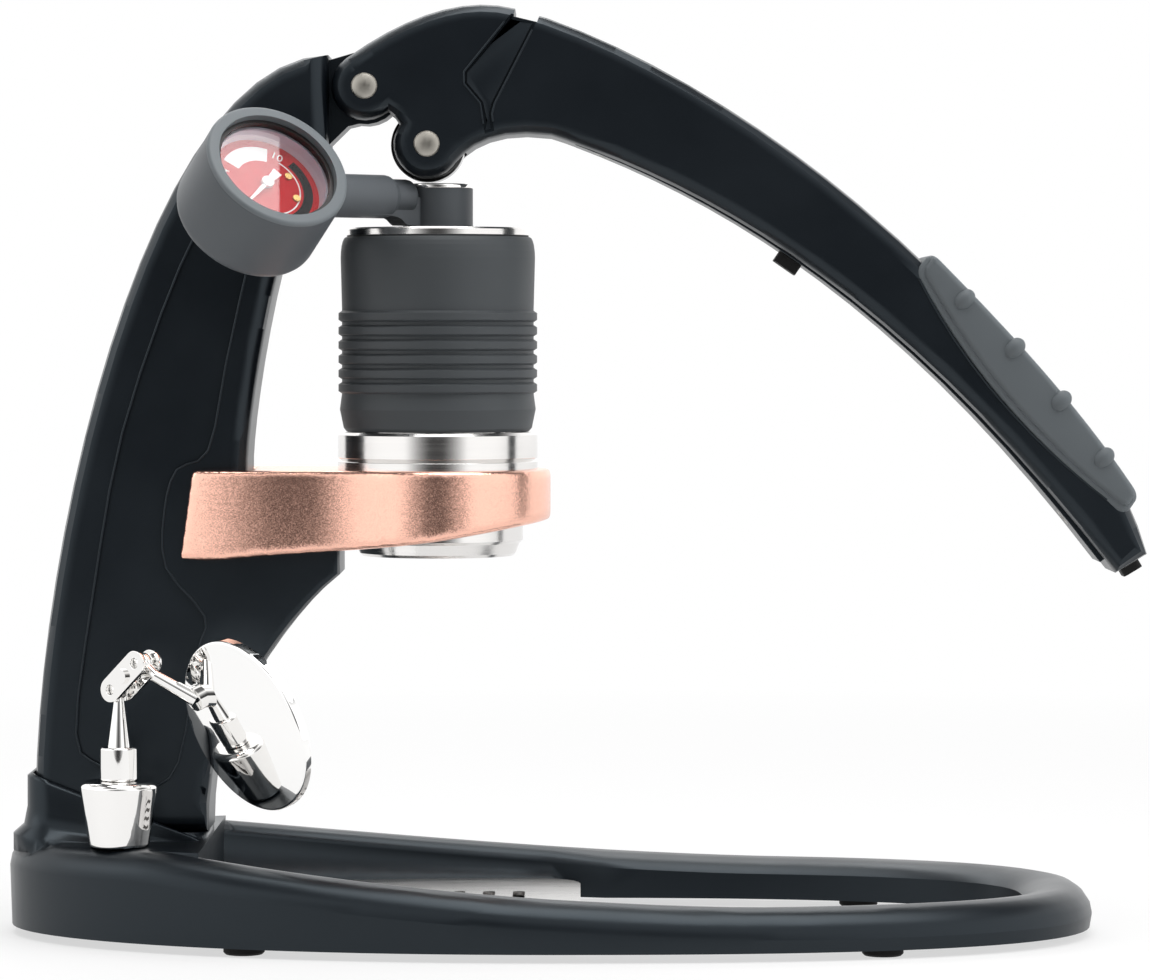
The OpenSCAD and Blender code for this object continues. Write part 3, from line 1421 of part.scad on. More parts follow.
mirror_glass();
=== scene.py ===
# %% [markdown]
# # A manual lever espresso maker
# The solids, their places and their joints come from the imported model, which
# is loaded as a fixed frame. This lesson dresses that frame: it gives each
# piece its finish, models the pieces that need finer forms than the solids
# have, and sets up a plain bright studio.

import json
import math

import bpy
from mathutils import Matrix, Vector


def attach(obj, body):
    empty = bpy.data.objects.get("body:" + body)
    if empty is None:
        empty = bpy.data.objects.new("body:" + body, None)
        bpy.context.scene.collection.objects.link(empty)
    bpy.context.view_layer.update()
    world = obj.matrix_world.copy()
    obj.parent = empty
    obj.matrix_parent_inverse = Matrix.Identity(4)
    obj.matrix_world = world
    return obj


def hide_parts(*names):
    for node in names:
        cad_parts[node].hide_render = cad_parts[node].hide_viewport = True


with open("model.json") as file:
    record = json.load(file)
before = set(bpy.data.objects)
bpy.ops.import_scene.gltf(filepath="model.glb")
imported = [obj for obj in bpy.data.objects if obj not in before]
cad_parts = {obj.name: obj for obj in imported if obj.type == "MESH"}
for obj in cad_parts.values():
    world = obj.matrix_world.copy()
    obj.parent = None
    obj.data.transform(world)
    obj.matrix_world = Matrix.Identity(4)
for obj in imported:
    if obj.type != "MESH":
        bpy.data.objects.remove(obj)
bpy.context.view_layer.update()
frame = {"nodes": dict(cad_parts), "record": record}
nodes = frame["nodes"]

# %% [markdown]
# Every operator acts on what is selected, and the loaded nodes start selected.
# So a small helper clears the selection before each new piece, and another
# one tells which body a node rides on.

# %% Selection helpers
body_of_node = {}
for body, members in frame["record"]["behaviour"]["bodies"].items():
    for member in members:
        body_of_node[member] = body
slot_of_node = {s["node"]: s["material_slot"] for s in frame["record"]["subparts"]}


def pick_only(piece):
    bpy.ops.object.select_all(action="DESELECT")
    piece.select_set(True)
    bpy.context.view_layer.objects.active = piece


bpy.ops.object.select_all(action="DESELECT")
print("bodies:", len(set(body_of_node.values())))

# %% [markdown]
# ## Finishes
# A finish is a Principled shader with a little variation: a real powder coat
# is slightly uneven, a turned ring carries fine rings, silicone shows dust.
# The variation reads Object coordinates, so it stays on the piece when the
# piece moves. Effects that several finishes share are node groups.

# %% Node helpers


def new_finish(name, color, roughness, metallic=0.0, specular=0.5):
    finish = bpy.data.materials.new(name)
    finish.use_nodes = True
    shader = finish.node_tree.nodes["Principled BSDF"]
    shader.inputs["Base Color"].default_value = (*color, 1.0)
    shader.inputs["Roughness"].default_value = roughness
    shader.inputs["Metallic"].default_value = metallic
    shader.inputs["Specular IOR Level"].default_value = specular
    return finish, finish.node_tree, shader


def add_node(tree, kind, **values):
    node = tree.nodes.new(kind)
    for name, value in values.items():
        if name in node.inputs:
            node.inputs[name].default_value = value
        else:
            setattr(node, name, value)
    return node


def start_group(name, inputs, outputs):
    tree = bpy.data.node_groups.new(name, "ShaderNodeTree")
    for label, kind, value in inputs:
        socket = tree.interface.new_socket(label, in_out="INPUT", socket_type=kind)
        socket.default_value = value
    for label, kind in outputs:
        tree.interface.new_socket(label, in_out="OUTPUT", socket_type=kind)
    return tree, tree.nodes.new("NodeGroupInput"), tree.nodes.new("NodeGroupOutput")


def place_group(tree, group, **values):
    node = tree.nodes.new("ShaderNodeGroup")
    node.node_tree = group
    for label, value in values.items():
        node.inputs[label.replace("_", " ")].default_value = value
    return node


def join(tree, source, output, target, socket):
    tree.links.new(source.outputs[output], target.inputs[socket])


def range_node(tree, from_min, from_max, to_min=0.0, to_max=1.0):
    node = tree.nodes.new("ShaderNodeMapRange")
    limits = {"From Min": from_min, "From Max": from_max, "To Min": to_min, "To Max": to_max}
    for label, value in limits.items():
        node.inputs[label].default_value = value
    return node


# %% [markdown]
# ### Three shared effects
# "Fine grain" is an even speckle, as on powder coat, blasted metal and
# silicone: it gives a height for a bump and a mask that breaks up the
# roughness. "Lathe lines" are rings around an axis: noise that runs quickly
# along the axis and hardly at all around it. "Blasted facets" are for bead
# blasted metal: every small cell of the surface leans its own way, so a few of
# them sparkle where the rest is dark. All three could be painted as images, but
# a procedural pattern has no seam and no resolution.

# %% Shared node groups
NOISE_LOW = 0.3
NOISE_HIGH = 0.7
grain_group, grain_in, grain_out = start_group(
    "Fine grain",
    [
        ("Grains per metre", "NodeSocketFloat", 3000.0),
        ("Low", "NodeSocketFloat", 0.3),
        ("High", "NodeSocketFloat", 0.5),
    ],
    [("Height", "NodeSocketFloat"), ("Value", "NodeSocketFloat")],
)
spot = add_node(grain_group, "ShaderNodeTexCoord")
speckle = add_node(grain_group, "ShaderNodeTexNoise", Detail=2.0)
cloud = add_node(grain_group, "ShaderNodeTexNoise", Scale=28.0, Detail=3.0)
spread = range_node(grain_group, NOISE_LOW, NOISE_HIGH)
join(grain_group, spot, "Object", speckle, "Vector")
join(grain_group, spot, "Object", cloud, "Vector")
join(grain_group, grain_in, "Grains per metre", speckle, "Scale")
join(grain_group, cloud, "Fac", spread, "Value")
join(grain_group, grain_in, "Low", spread, "To Min")
join(grain_group, grain_in, "High", spread, "To Max")
join(grain_group, speckle, "Fac", grain_out, "Height")
join(grain_group, spread, "Result", grain_out, "Value")

lathe_group, lathe_in, lathe_out = start_group(
    "Lathe lines",
    [
        ("Stretch", "NodeSocketVector", (40.0, 40.0, 6000.0)),
        ("Low", "NodeSocketFloat", 0.2),
        ("High", "NodeSocketFloat", 0.4),
    ],
    [("Height", "NodeSocketFloat"), ("Value", "NodeSocketFloat")],
)
spot = add_node(lathe_group, "ShaderNodeTexCoord")
stretch = add_node(lathe_group, "ShaderNodeVectorMath", operation="MULTIPLY")
lines = add_node(lathe_group, "ShaderNodeTexNoise", Scale=1.0, Detail=4.0)
spread = range_node(lathe_group, NOISE_LOW, NOISE_HIGH)
join(lathe_group, spot, "Object", stretch, 0)
join(lathe_group, lathe_in, "Stretch", stretch, 1)
join(lathe_group, stretch, "Vector", lines, "Vector")
join(lathe_group, lines, "Fac", spread, "Value")
join(lathe_group, lathe_in, "Low", spread, "To Min")
join(lathe_group, lathe_in, "High", spread, "To Max")
join(lathe_group, lines, "Fac", lathe_out, "Height")
join(lathe_group, spread, "Result", lathe_out, "Value")

blast_group, blast_in, blast_out = start_group(
    "Blasted facets",
    [("Facets per metre", "NodeSocketFloat", 3000.0), ("Tilt", "NodeSocketFloat", 0.3)],
    [("Normal", "NodeSocketVector")],
)
spot = add_node(blast_group, "ShaderNodeTexCoord")
cells = add_node(blast_group, "ShaderNodeTexVoronoi")
around_zero = add_node(blast_group, "ShaderNodeVectorMath", operation="SUBTRACT")
around_zero.inputs[1].default_value = (0.5, 0.5, 0.5)
tilt = add_node(blast_group, "ShaderNodeVectorMath", operation="SCALE")
smooth = add_node(blast_group, "ShaderNodeNewGeometry")
tilted = add_node(blast_group, "ShaderNodeVectorMath", operation="ADD")
unit = add_node(blast_group, "ShaderNodeVectorMath", operation="NORMALIZE")
join(blast_group, spot, "Object", cells, "Vector")
join(blast_group, blast_in, "Facets per metre", cells, "Scale")
join(blast_group, cells, "Color", around_zero, 0)
join(blast_group, around_zero, "Vector", tilt, 0)
join(blast_group, blast_in, "Tilt", tilt, "Scale")
join(blast_group, smooth, "Normal", tilted, 0)
join(blast_group, tilt, "Vector", tilted, 1)
join(blast_group, tilted, "Vector", unit, 0)
join(blast_group, unit, "Vector", blast_out, "Normal")
print("groups:", [g.name for g in bpy.data.node_groups])

# %% [markdown]
# ### Finishes with grain
# Powder coat, silicone and rubber are all a plain colour under a fine grain.
# What differs is the size of the grain and how rough it looks. The blasted
# copper takes its normals from the facets instead.

# %% Grained finishes
GRAIN_DEPTH = 0.0001


def grained(name, color, low, high, grains, bump, specular=0.5):
    finish, tree, shader = new_finish(name, color, (low + high) / 2, specular=specular)
    grain = place_group(tree, grain_group, Grains_per_metre=grains, Low=low, High=high)
    relief = add_node(tree, "ShaderNodeBump", Strength=bump, Distance=GRAIN_DEPTH)
    join(tree, grain, "Height", relief, "Height")
    join(tree, grain, "Value", shader, "Roughness")
    join(tree, relief, "Normal", shader, "Normal")
    return finish


# Colour, lowest and highest roughness, grains per metre, strength of the bump.
black_coat = grained(
    "Black powder coat", (0.0026, 0.0038, 0.0060), 0.30, 0.38, 4200.0, 0.10, specular=0.45
)
black_shader = black_coat.node_tree.nodes["Principled BSDF"]
black_shader.inputs["Specular Tint"].default_value = (0.76, 0.90, 1.0, 1.0)
foot_rubber = grained("Black rubber", (0.006, 0.006, 0.006), 0.6, 0.75, 2600.0, 0.15, specular=0.3)
seal_rubber = grained("Seal rubber", (0.016, 0.014, 0.014), 0.45, 0.55, 2600.0, 0.05)
grey_silicone = grained("Grey silicone", (0.052, 0.058, 0.063), 0.48, 0.58, 3600.0, 0.12, specular=0.4)
grip_grey = grained("Grey silicone grip", (0.115, 0.130, 0.140), 0.50, 0.60, 3600.0, 0.12, specular=0.35)
gauge_coat = grained("Blue grey coat", (0.088, 0.098, 0.108), 0.42, 0.52, 4200.0, 0.06, specular=0.4)
copper, copper_tree, copper_shader = new_finish("Blasted copper", (0.95, 0.55, 0.43), 0.22, metallic=1.0)
copper_facets = place_group(copper_tree, blast_group, Facets_per_metre=4200.0, Tilt=0.13)
copper_grain = place_group(copper_tree, grain_group, Low=0.20, High=0.25)
join(copper_tree, copper_facets, "Normal", copper_shader, "Normal")
join(copper_tree, copper_grain, "Value", copper_shader, "Roughness")
roller_plastic = grained("Glossy black roller", (0.006, 0.006, 0.006), 0.12, 0.2, 900.0, 0.02)
coats = [black_coat, foot_rubber, seal_rubber, grey_silicone, grip_grey, gauge_coat, roller_plastic]
print("grained finishes:", len(coats), "and", copper.name)

# %% [markdown]
# ### Turned and brushed metal
# A turned ring has rings around its axis, and here every ring stands upright,
# so the lines stack along Z. The tray is brushed from front to back instead.

# %% Lined metals
LINE_DEPTH = 0.00005


def lined(name, color, low, high, stretch, bump):
    finish, tree, shader = new_finish(name, color, (low + high) / 2, metallic=1.0)
    lathe = place_group(tree, lathe_group, Stretch=stretch, Low=low, High=high)
    relief = add_node(tree, "ShaderNodeBump", Strength=bump, Distance=LINE_DEPTH)
    join(tree, lathe, "Height", relief, "Height")
    join(tree, lathe, "Value", shader, "Roughness")
    join(tree, relief, "Normal", shader, "Normal")
    return finish


# Colour, lowest and highest roughness, lines per metre along each axis, strength of the bump.
turned_steel = lined("Turned steel", (0.76, 0.745, 0.73), 0.13, 0.21, (8.0, 8.0, 5000.0), 0.03)
tray_steel = lined("Brushed tray steel", (0.58, 0.57, 0.56), 0.25, 0.4, (60.0, 5000.0, 60.0), 0.15)
pin_steel = lined("Pin steel", (0.40, 0.38, 0.34), 0.30, 0.42, (900.0, 30.0, 900.0), 0.05)
bronze = lined("Bronze", (0.50, 0.33, 0.17), 0.3, 0.4, (3000.0, 30.0, 3000.0), 0.08)
brass = lined("Brass", (0.52, 0.36, 0.13), 0.2, 0.35, (900.0, 900.0, 900.0), 0.05)
print("lined metals:", len([turned_steel, tray_steel, pin_steel, bronze, brass]))

# %% [markdown]
# ### Polished metal, glass and paint
# Nickel and the mirror are almost perfect reflectors, so they only need a
# faint change of roughness. The lens is plain glass. The dial's paints are
# matt.

# %% Polished and painted finishes
POLISH_GRAINS = 600.0


def polished(name, color, low, high):
    finish, tree, shader = new_finish(name, color, (low + high) / 2, metallic=1.0)
    grain = place_group(tree, grain_group, Grains_per_metre=POLISH_GRAINS, Low=low, High=high)
    join(tree, grain, "Value", shader, "Roughness")
    return finish


nickel = polished("Polished nickel", (0.90, 0.89, 0.875), 0.02, 0.05)
mirror_silver = polished("Mirror silver", (0.97, 0.97, 0.97), 0.005, 0.015)
lens_glass, _, lens_shader = new_finish("Lens glass", (1.0, 1.0, 1.0), 0.0)
lens_shader.inputs["Transmission Weight"].default_value = 1.0
lens_shader.inputs["IOR"].default_value = 1.45
dial_red = grained("Dial red", (0.52, 0.008, 0.014), 0.5, 0.6, 2000.0, 0.02, specular=0.08)
dial_white = grained("Dial white", (0.86, 0.86, 0.86), 0.45, 0.55, 2000.0, 0.02)
wall_white = grained("Pale gauge wall", (0.62, 0.60, 0.68), 0.4, 0.5, 2000.0, 0.02)
dial_black = grained("Dial black", (0.006, 0.006, 0.007), 0.5, 0.6, 2000.0, 0.02, specular=0.05)
# The front ring's coat is the blue grey coat made paler: partly the ring's own tone, partly painted
# light on the face that looks at the lamps.
pale_lit_ring_coat = grained(
    "Pale gauge ring coat with painted light", (0.150, 0.168, 0.180), 0.42, 0.52, 4200.0, 0.06, specular=0.4
)
gauge_rim = grained("Dark gauge ring", (0.016, 0.013, 0.013), 0.3, 0.4, 2000.0, 0.03)
gauge_paints = [dial_red, dial_white, wall_white, dial_black, pale_lit_ring_coat, gauge_rim]
print("polished:", nickel.name, "and", mirror_silver.name, "paints:", len(gauge_paints))

# %% [markdown]
# ### A finish for every solid
# The record gives each solid a material slot, and a slot has one finish. Only
# the tray differs: it shares its slot with the turned rings and is brushed.

# %% Finishes on the solids
TRAY = ("drip_pan", "drip_grate")
finish_of_slot = {
    "black_coat": black_coat,
    "foot_rubber": foot_rubber,
    "seal_rubber": seal_rubber,
    "brushed_steel": turned_steel,
    "screen_steel": turned_steel,
    "polished_steel": nickel,
    "fastener_steel": pin_steel,
    "copper": copper,
    "bronze": bronze,
    "roller_plastic": roller_plastic,
    "grey_silicone": grey_silicone,
    "gauge_coat": gauge_coat,
    "gauge_rim": gauge_rim,
    "gauge_glass": lens_glass,
    "gauge_wall": wall_white,
    "dial_red": dial_red,
    "gauge_brass": brass,
    "needle_white": dial_white,
    "mirror_silver": mirror_silver,
}


def coat(piece, finish):
    piece.data.materials.clear()
    piece.data.materials.append(finish)


for name, node in nodes.items():
    coat(node, tray_steel if name in TRAY else finish_of_slot[slot_of_node[name]])
print("finishes on nodes:", len(nodes))

# %% [markdown]
# ## Soft skins
# Castings, mouldings and polished fittings never have a knife edge: the mould
# or the polisher rounds it, and that narrow round is what catches the light.
# A copy of the solid is merged by distance, its flat facets are dissolved into
# whole faces, and a narrow bevel rounds what is still sharp. The base has wide
# rounds of its own, so its copy gets no bevel. Weighted normals then keep the
# flats flat and let the rounds blend into them.

# %% Soft copies of solids
MERGE_GAP = 0.00002
FLAT_ANGLE = math.radians(0.6)
GRID_STEP = 0.0006
MELT_SHARE = 0.5
ROUND_STEPS = 3
FLAT_WEIGHT = 80


def merged_copy(node_name, piece_name, whole_faces=True):
    piece = bpy.data.objects.new(piece_name, nodes[node_name].data.copy())
    bpy.context.scene.collection.objects.link(piece)
    pick_only(piece)
    bpy.ops.object.mode_set(mode="EDIT")
    bpy.ops.mesh.select_all(action="SELECT")
    bpy.ops.mesh.remove_doubles(threshold=MERGE_GAP)
    if whole_faces:
        bpy.ops.mesh.dissolve_limited(angle_limit=FLAT_ANGLE)
    bpy.ops.mesh.select_all(action="DESELECT")
    bpy.ops.object.mode_set(mode="OBJECT")
    return piece


def finish_with(piece, label, kind, **values):
    modifier = piece.modifiers.new(label, kind)
    for name, value in values.items():
        setattr(modifier, name, value)
    bpy.ops.object.modifier_apply(modifier=modifier.name)


def round_edges(piece, width, sharp_angle):
    limit = {"limit_method": "ANGLE", "angle_limit": math.radians(sharp_angle)}
    finish_with(piece, "edge round", "BEVEL", width=width, segments=ROUND_STEPS, **limit)


def soft_copy(node_name, sharp_angle, edge_round, reshape=None, melt_steps=0):
    piece = merged_copy(node_name, node_name + "_skin")
    if reshape:
        reshape(piece.data)
    if melt_steps > 0:
        finish_with(piece, "even grid", "REMESH", mode="VOXEL", voxel_size=GRID_STEP)
        finish_with(piece, "melted edges", "SMOOTH", factor=MELT_SHARE, iterations=melt_steps)
    if edge_round > 0.0:
        round_edges(piece, edge_round, sharp_angle)
    bpy.ops.object.shade_smooth_by_angle(angle=math.radians(sharp_angle))
    finish_with(piece, "weighted normals", "WEIGHTED_NORMAL", keep_sharp=True, weight=FLAT_WEIGHT)
    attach(piece, body_of_node[node_name])
    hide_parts(node_name)
    print(piece.name, len(piece.data.polygons), "faces")


# %% Skins
# The angle, in degrees, from which an edge counts as sharp, and the width of its round.
soft_edges = {
    "base_frame": (34, 0.0),
    "tower_post": (30, 0.0004),
    "lever_casting": (30, 0.0006),
    "lever_cover": (40, 0.0003),
    "mirror_foot": (35, 0.0010),
    "mirror_collar": (35, 0.0004),
    "link_plates": (35, 0.0003),
    "pivot_pin": (35, 0.0003),
    "roller_pin": (35, 0.0003),
    "stem_cap": (35, 0.0003),
    "press_roller": (35, 0.0004),
}
for name, (angle, edge_round) in soft_edges.items():
    soft_copy(name, angle, edge_round)

# %% [markdown]
# ## Lips along the grooves
# The coat gathers in a thin rounded lip where a groove breaks the castings'
# flat sides, and that lip draws a fine bright line. The borders are read from
# the solid: edges at the level of the flat side that belong to an upright wall.
# They become a curve, and the curve's round bevel becomes the lip.

# %% Groove lips
LIP_RADIUS = 0.00035
LIP_STEPS = 3
LIP_DEPTH = 0.00005
LIP_WELD = LIP_RADIUS / 100
LIP_SHARP = 50.0
WALL_TILT = 0.3
NECK_FROM = -0.0320
WHOLE_POST = -1.0


def close_and_smooth(gap, sharp_angle):
    bpy.ops.object.mode_set(mode="EDIT")
    bpy.ops.mesh.select_all(action="SELECT")
    bpy.ops.mesh.remove_doubles(threshold=gap)
    bpy.ops.mesh.normals_make_consistent(inside=False)
    bpy.ops.object.mode_set(mode="OBJECT")
    bpy.ops.object.shade_smooth_by_angle(angle=math.radians(sharp_angle))


def select_rims(mesh, from_x):
    side = max(abs(v.co.y) for v in mesh.vertices if v.co.x > from_x) - LIP_DEPTH
    rims = set()
    for face in mesh.polygons:
        reach = max(abs(mesh.vertices[k].co.y) for k in face.vertices)
        if abs(face.normal.y) < WALL_TILT and reach > side:
            rims.update(tuple(sorted(key)) for key in face.edge_keys)
    for edge in mesh.edges:
        ends = [mesh.vertices[k].co for k in edge.vertices]
        on_rim = tuple(sorted(edge.vertices)) in rims and min(q.x for q in ends) > from_x
        edge.select = on_rim and min(abs(q.y) for q in ends) > side


def groove_lips(node_name, from_x):
    piece = merged_copy(node_name, node_name + "_lips")
    select_rims(piece.data, from_x)
    bpy.ops.object.mode_set(mode="EDIT")
    bpy.ops.mesh.select_mode(type="EDGE")
    bpy.ops.mesh.select_all(action="INVERT")
    bpy.ops.mesh.delete(type="EDGE")
    bpy.ops.object.mode_set(mode="OBJECT")
    bpy.ops.object.convert(target="CURVE")
    piece = bpy.context.object
    piece.data.bevel_depth = LIP_RADIUS
    piece.data.bevel_resolution = LIP_STEPS
    piece.data.use_fill_caps = True
    bpy.ops.object.convert(target="MESH")
    piece = bpy.context.object
    close_and_smooth(LIP_WELD, LIP_SHARP)
    coat(piece, black_coat)
    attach(piece, body_of_node[node_name])
    print(piece.name, len(piece.data.polygons), "faces")


groove_lips("lever_casting", NECK_FROM)
groove_lips("tower_post", WHOLE_POST)

# %% [markdown]
# ## Islands in the neck
# The groove in the lever's neck has a slightly raised island on each side,
# which keeps an even distance from the groove's border. So it is made from the
# groove's own floor: the floor's faces are kept from a copy of the solid, inset
# by that distance, thickened and rounded. Drawn by hand, its outline would
# never run quite parallel to the groove's.

# %% Neck islands
NECK_FLOOR = 0.0159
FACING = 0.99
ISLAND_GAP = 0.0009
ISLAND_RISE = 0.0007
ISLAND_ROUND = 0.0003
ISLAND_SHARP = 35.0
island = merged_copy("lever_casting", "neck_islands", whole_faces=False)
for face in island.data.polygons:
    on_floor = abs(abs(face.center.y) - NECK_FLOOR) < LIP_DEPTH and abs(face.normal.y) > FACING
    face.select = on_floor and face.center.x > NECK_FROM
bpy.ops.object.mode_set(mode="EDIT")
bpy.ops.mesh.select_mode(type="FACE")
bpy.ops.mesh.select_all(action="INVERT")
bpy.ops.mesh.delete(type="FACE")
bpy.ops.mesh.select_all(action="SELECT")
bpy.ops.mesh.inset(thickness=ISLAND_GAP, use_boundary=True)
bpy.ops.mesh.select_all(action="INVERT")
bpy.ops.mesh.delete(type="FACE")
bpy.ops.mesh.select_all(action="SELECT")
bpy.ops.mesh.dissolve_limited(angle_limit=FLAT_ANGLE)
bpy.ops.object.mode_set(mode="OBJECT")
finish_with(island, "rise", "SOLIDIFY", thickness=ISLAND_RISE, offset=1.0)
round_edges(island, ISLAND_ROUND, ISLAND_SHARP)
bpy.ops.object.shade_smooth_by_angle(angle=math.radians(ISLAND_SHARP))
coat(island, black_coat)
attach(island, "lever")
print("neck islands:", len(island.data.polygons), "faces")

# %% [markdown]
# ## The holder's flowing side
# The holder's arms run into the ring in one sweep: flat beside the post, then
# hollow, then round with the ring. The solid has a crease there. In the copy the
# side follows a smooth path instead, and the underside hangs a little fuller
# below the ring. Both changes are small against the holder's size. A bevel
# would be stopped by the short edges around the slot, so the copy is laid on an
# even grid and smoothed, which rounds all its edges alike.

# %% Holder
ARM_FLAT = 0.0236
ARM_FLAT_FROM = -0.082
ARM_FLAT_TO = -0.076
ARM_FALL = 5.5
RING_FROM = -0.054
RING_SIDE = 0.02909
RING_SLOPE = 0.5
ARM_REAR = -0.112
REAR_ROUND = -0.1085
SLOT_SIDE = 0.0176
BREW_X = -0.0395
RING_RADIUS = 0.0325
RING_BORE = 0.0280
BELLY = 0.0042
BELLY_POWER = 1.5
BELLY_FROM = -0.0930
BELLY_TO = 0.0110
UNDERSIDE_TOP = 0.121
UPRIGHT_TILT = 0.2
FACING_DOWN = -0.7
SIDE_CUTS = 2
HOLDER_SHARP = 50
HOLDER_MELT = 40


def arm_side(x):
    if x < ARM_FLAT_FROM:
        return ARM_FLAT - ARM_FALL * (x - ARM_FLAT_FROM) ** 2
    if x < ARM_FLAT_TO:
        return ARM_FLAT
    span = RING_FROM - ARM_FLAT_TO
    t = (x - ARM_FLAT_TO) / span
    rise = (3 * t * t - 2 * t**3) * (RING_SIDE - ARM_FLAT)
    return ARM_FLAT + rise + (t**3 - t * t) * span * RING_SLOPE


def on_outside(place):
    from_axis = math.hypot(place.x - BREW_X, place.y)
    if place.x < RING_FROM:
        return abs(place.y) > SLOT_SIDE and from_axis > RING_BORE
    return from_axis > RING_BORE


def flowing_side(mesh):
    for face in mesh.polygons:
        corners = [mesh.vertices[k].co for k in face.vertices]
        upright = abs(face.normal.z) < UPRIGHT_TILT and min(c.x for c in corners) > REAR_ROUND
        face.select = upright and all(on_outside(c) for c in corners)
    bpy.ops.object.mode_set(mode="EDIT")
    bpy.ops.mesh.select_mode(type="FACE")
    bpy.ops.mesh.subdivide(number_cuts=SIDE_CUTS)
    bpy.ops.object.mode_set(mode="OBJECT")
    under = set()
    for face in mesh.polygons:
        if face.normal.z < FACING_DOWN:
            under.update(face.vertices)
    for vertex in mesh.vertices:
        x, y, z = vertex.co
        if on_outside(vertex.co) and ARM_REAR < x < RING_FROM:
            vertex.co.y = math.copysign(arm_side(x), y)
        elif on_outside(vertex.co) and x >= RING_FROM:
            out = RING_RADIUS / math.hypot(x - BREW_X, y)
            vertex.co.x = BREW_X + (x - BREW_X) * out
            vertex.co.y = y * out
        if vertex.index in under and z < UNDERSIDE_TOP and BELLY_FROM < x < BELLY_TO:
            along = (x - BELLY_FROM) / (BELLY_TO - BELLY_FROM)
            vertex.co.z = z - BELLY * math.sin(math.pi * along) ** BELLY_POWER


soft_copy("holder_arm", HOLDER_SHARP, 0.0, reshape=flowing_side, melt_steps=HOLDER_MELT)

# %% [markdown]
# ## The grip
# The grip is a moulded silicone pad with round ends. Its outline is a closed
# curve with two points at each corner. The curve is given a thickness and a
# rounded edge, and is then made a mesh. A second, slightly smaller pad stands
# out from the first one, and the step between the two is the grip's lip. Four
# rounded ridges cross its back and stand out a little at both sides, so they
# are capsules: a ball, one half of which is moved along by the ridge's length.

# %% Pads
ORIGIN = (0.0, 0.0, 0.0)
STAND_UP = (math.radians(90.0), 0.0, 0.0)
GRIP_SOFTNESS = 0.0016
GRIP_CURVE_STEPS = 16
GRIP_ROUND_STEPS = 5
GRIP_WELD = 0.00001
GRIP_SHARP = 35.0
GRIP_LIP_HALF = 0.0173
GRIP_PAD_HALF = 0.0183
PAD_STEP = 0.0006
PAD_SHIFT = (0.0007, 0.0, 0.0008)
# Each point in X and Z, with the handle before it and the handle after it.
grip_points = [
    ((0.0986, 0.1860), (0.1075, 0.1710), (0.0980, 0.1873)),
    ((0.0984, 0.1902), (0.0977, 0.1890), (0.0990, 0.1910)),
    ((0.1002, 0.1925), (0.0996, 0.1917), (0.1012, 0.1938)),
    ((0.1036, 0.1919), (0.1024, 0.1931), (0.1232, 0.1720)),
    ((0.1580, 0.1282), (0.1423, 0.1514), (0.1588, 0.1270)),
    ((0.1590, 0.1242), (0.1597, 0.1256), (0.1585, 0.1235)),
    ((0.1575, 0.1220), (0.1580, 0.1227), (0.1566, 0.1209)),
    ((0.1538, 0.1219), (0.1550, 0.1209), (0.1225, 0.1465)),
]


def fix_place():
    bpy.ops.object.transform_apply(location=True, rotation=True, scale=True)


def grip_pad(name, half_width, inset, shift):
    bpy.ops.object.select_all(action="DESELECT")
    bpy.ops.curve.primitive_bezier_circle_add(radius=1.0, location=ORIGIN)
    pad = bpy.context.object
    pad.name = name
    bpy.ops.object.mode_set(mode="EDIT")
    bpy.ops.curve.select_all(action="SELECT")
    bpy.ops.curve.subdivide(number_cuts=1)
    bpy.ops.object.mode_set(mode="OBJECT")
    for point, (place, before, after) in zip(pad.data.splines[0].bezier_points, grip_points):
        point.handle_left_type = "FREE"
        point.handle_right_type = "FREE"
        point.co = (*place, 0.0)
        point.handle_left = (*before, 0.0)
        point.handle_right = (*after, 0.0)
    pad.data.dimensions = "2D"
    pad.data.fill_mode = "BOTH"
    pad.data.resolution_u = GRIP_CURVE_STEPS
    pad.data.bevel_depth = GRIP_SOFTNESS
    pad.data.bevel_resolution = GRIP_ROUND_STEPS
    pad.data.offset = -GRIP_SOFTNESS - inset
    pad.data.extrude = half_width - GRIP_SOFTNESS
    bpy.ops.object.convert(target="MESH")
    pad = bpy.context.object
    pad.rotation_euler = STAND_UP
    pad.location = shift
    fix_place()
    close_and_smooth(GRIP_WELD, GRIP_SHARP)
    coat(pad, grip_grey)
    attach(pad, "lever")
    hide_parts("lever_grip")
    print(name, len(pad.data.polygons), "faces")


grip_pad("grip_lip", GRIP_LIP_HALF, -PAD_STEP, ORIGIN)
grip_pad("grip_pad", GRIP_PAD_HALF, PAD_STEP, PAD_SHIFT)

# %% Ridges
RIDGE_RADIUS = 0.0027
RIDGE_STRETCH = 1.3
RIDGE_LEAN = 42.0
RIDGE_REACH = 0.0198
RIDGE_BOW = Vector((0.0012, 0.0, 0.0013))
FIRST_RIDGE = Vector((0.1107, 0.0, 0.1812))
LAST_RIDGE = Vector((0.1503, 0.0, 0.1362))
RIDGE_COUNT = 4
RIDGE_SIDES = 32
RIDGE_RINGS = 16
EQUATOR_GAP = 0.01


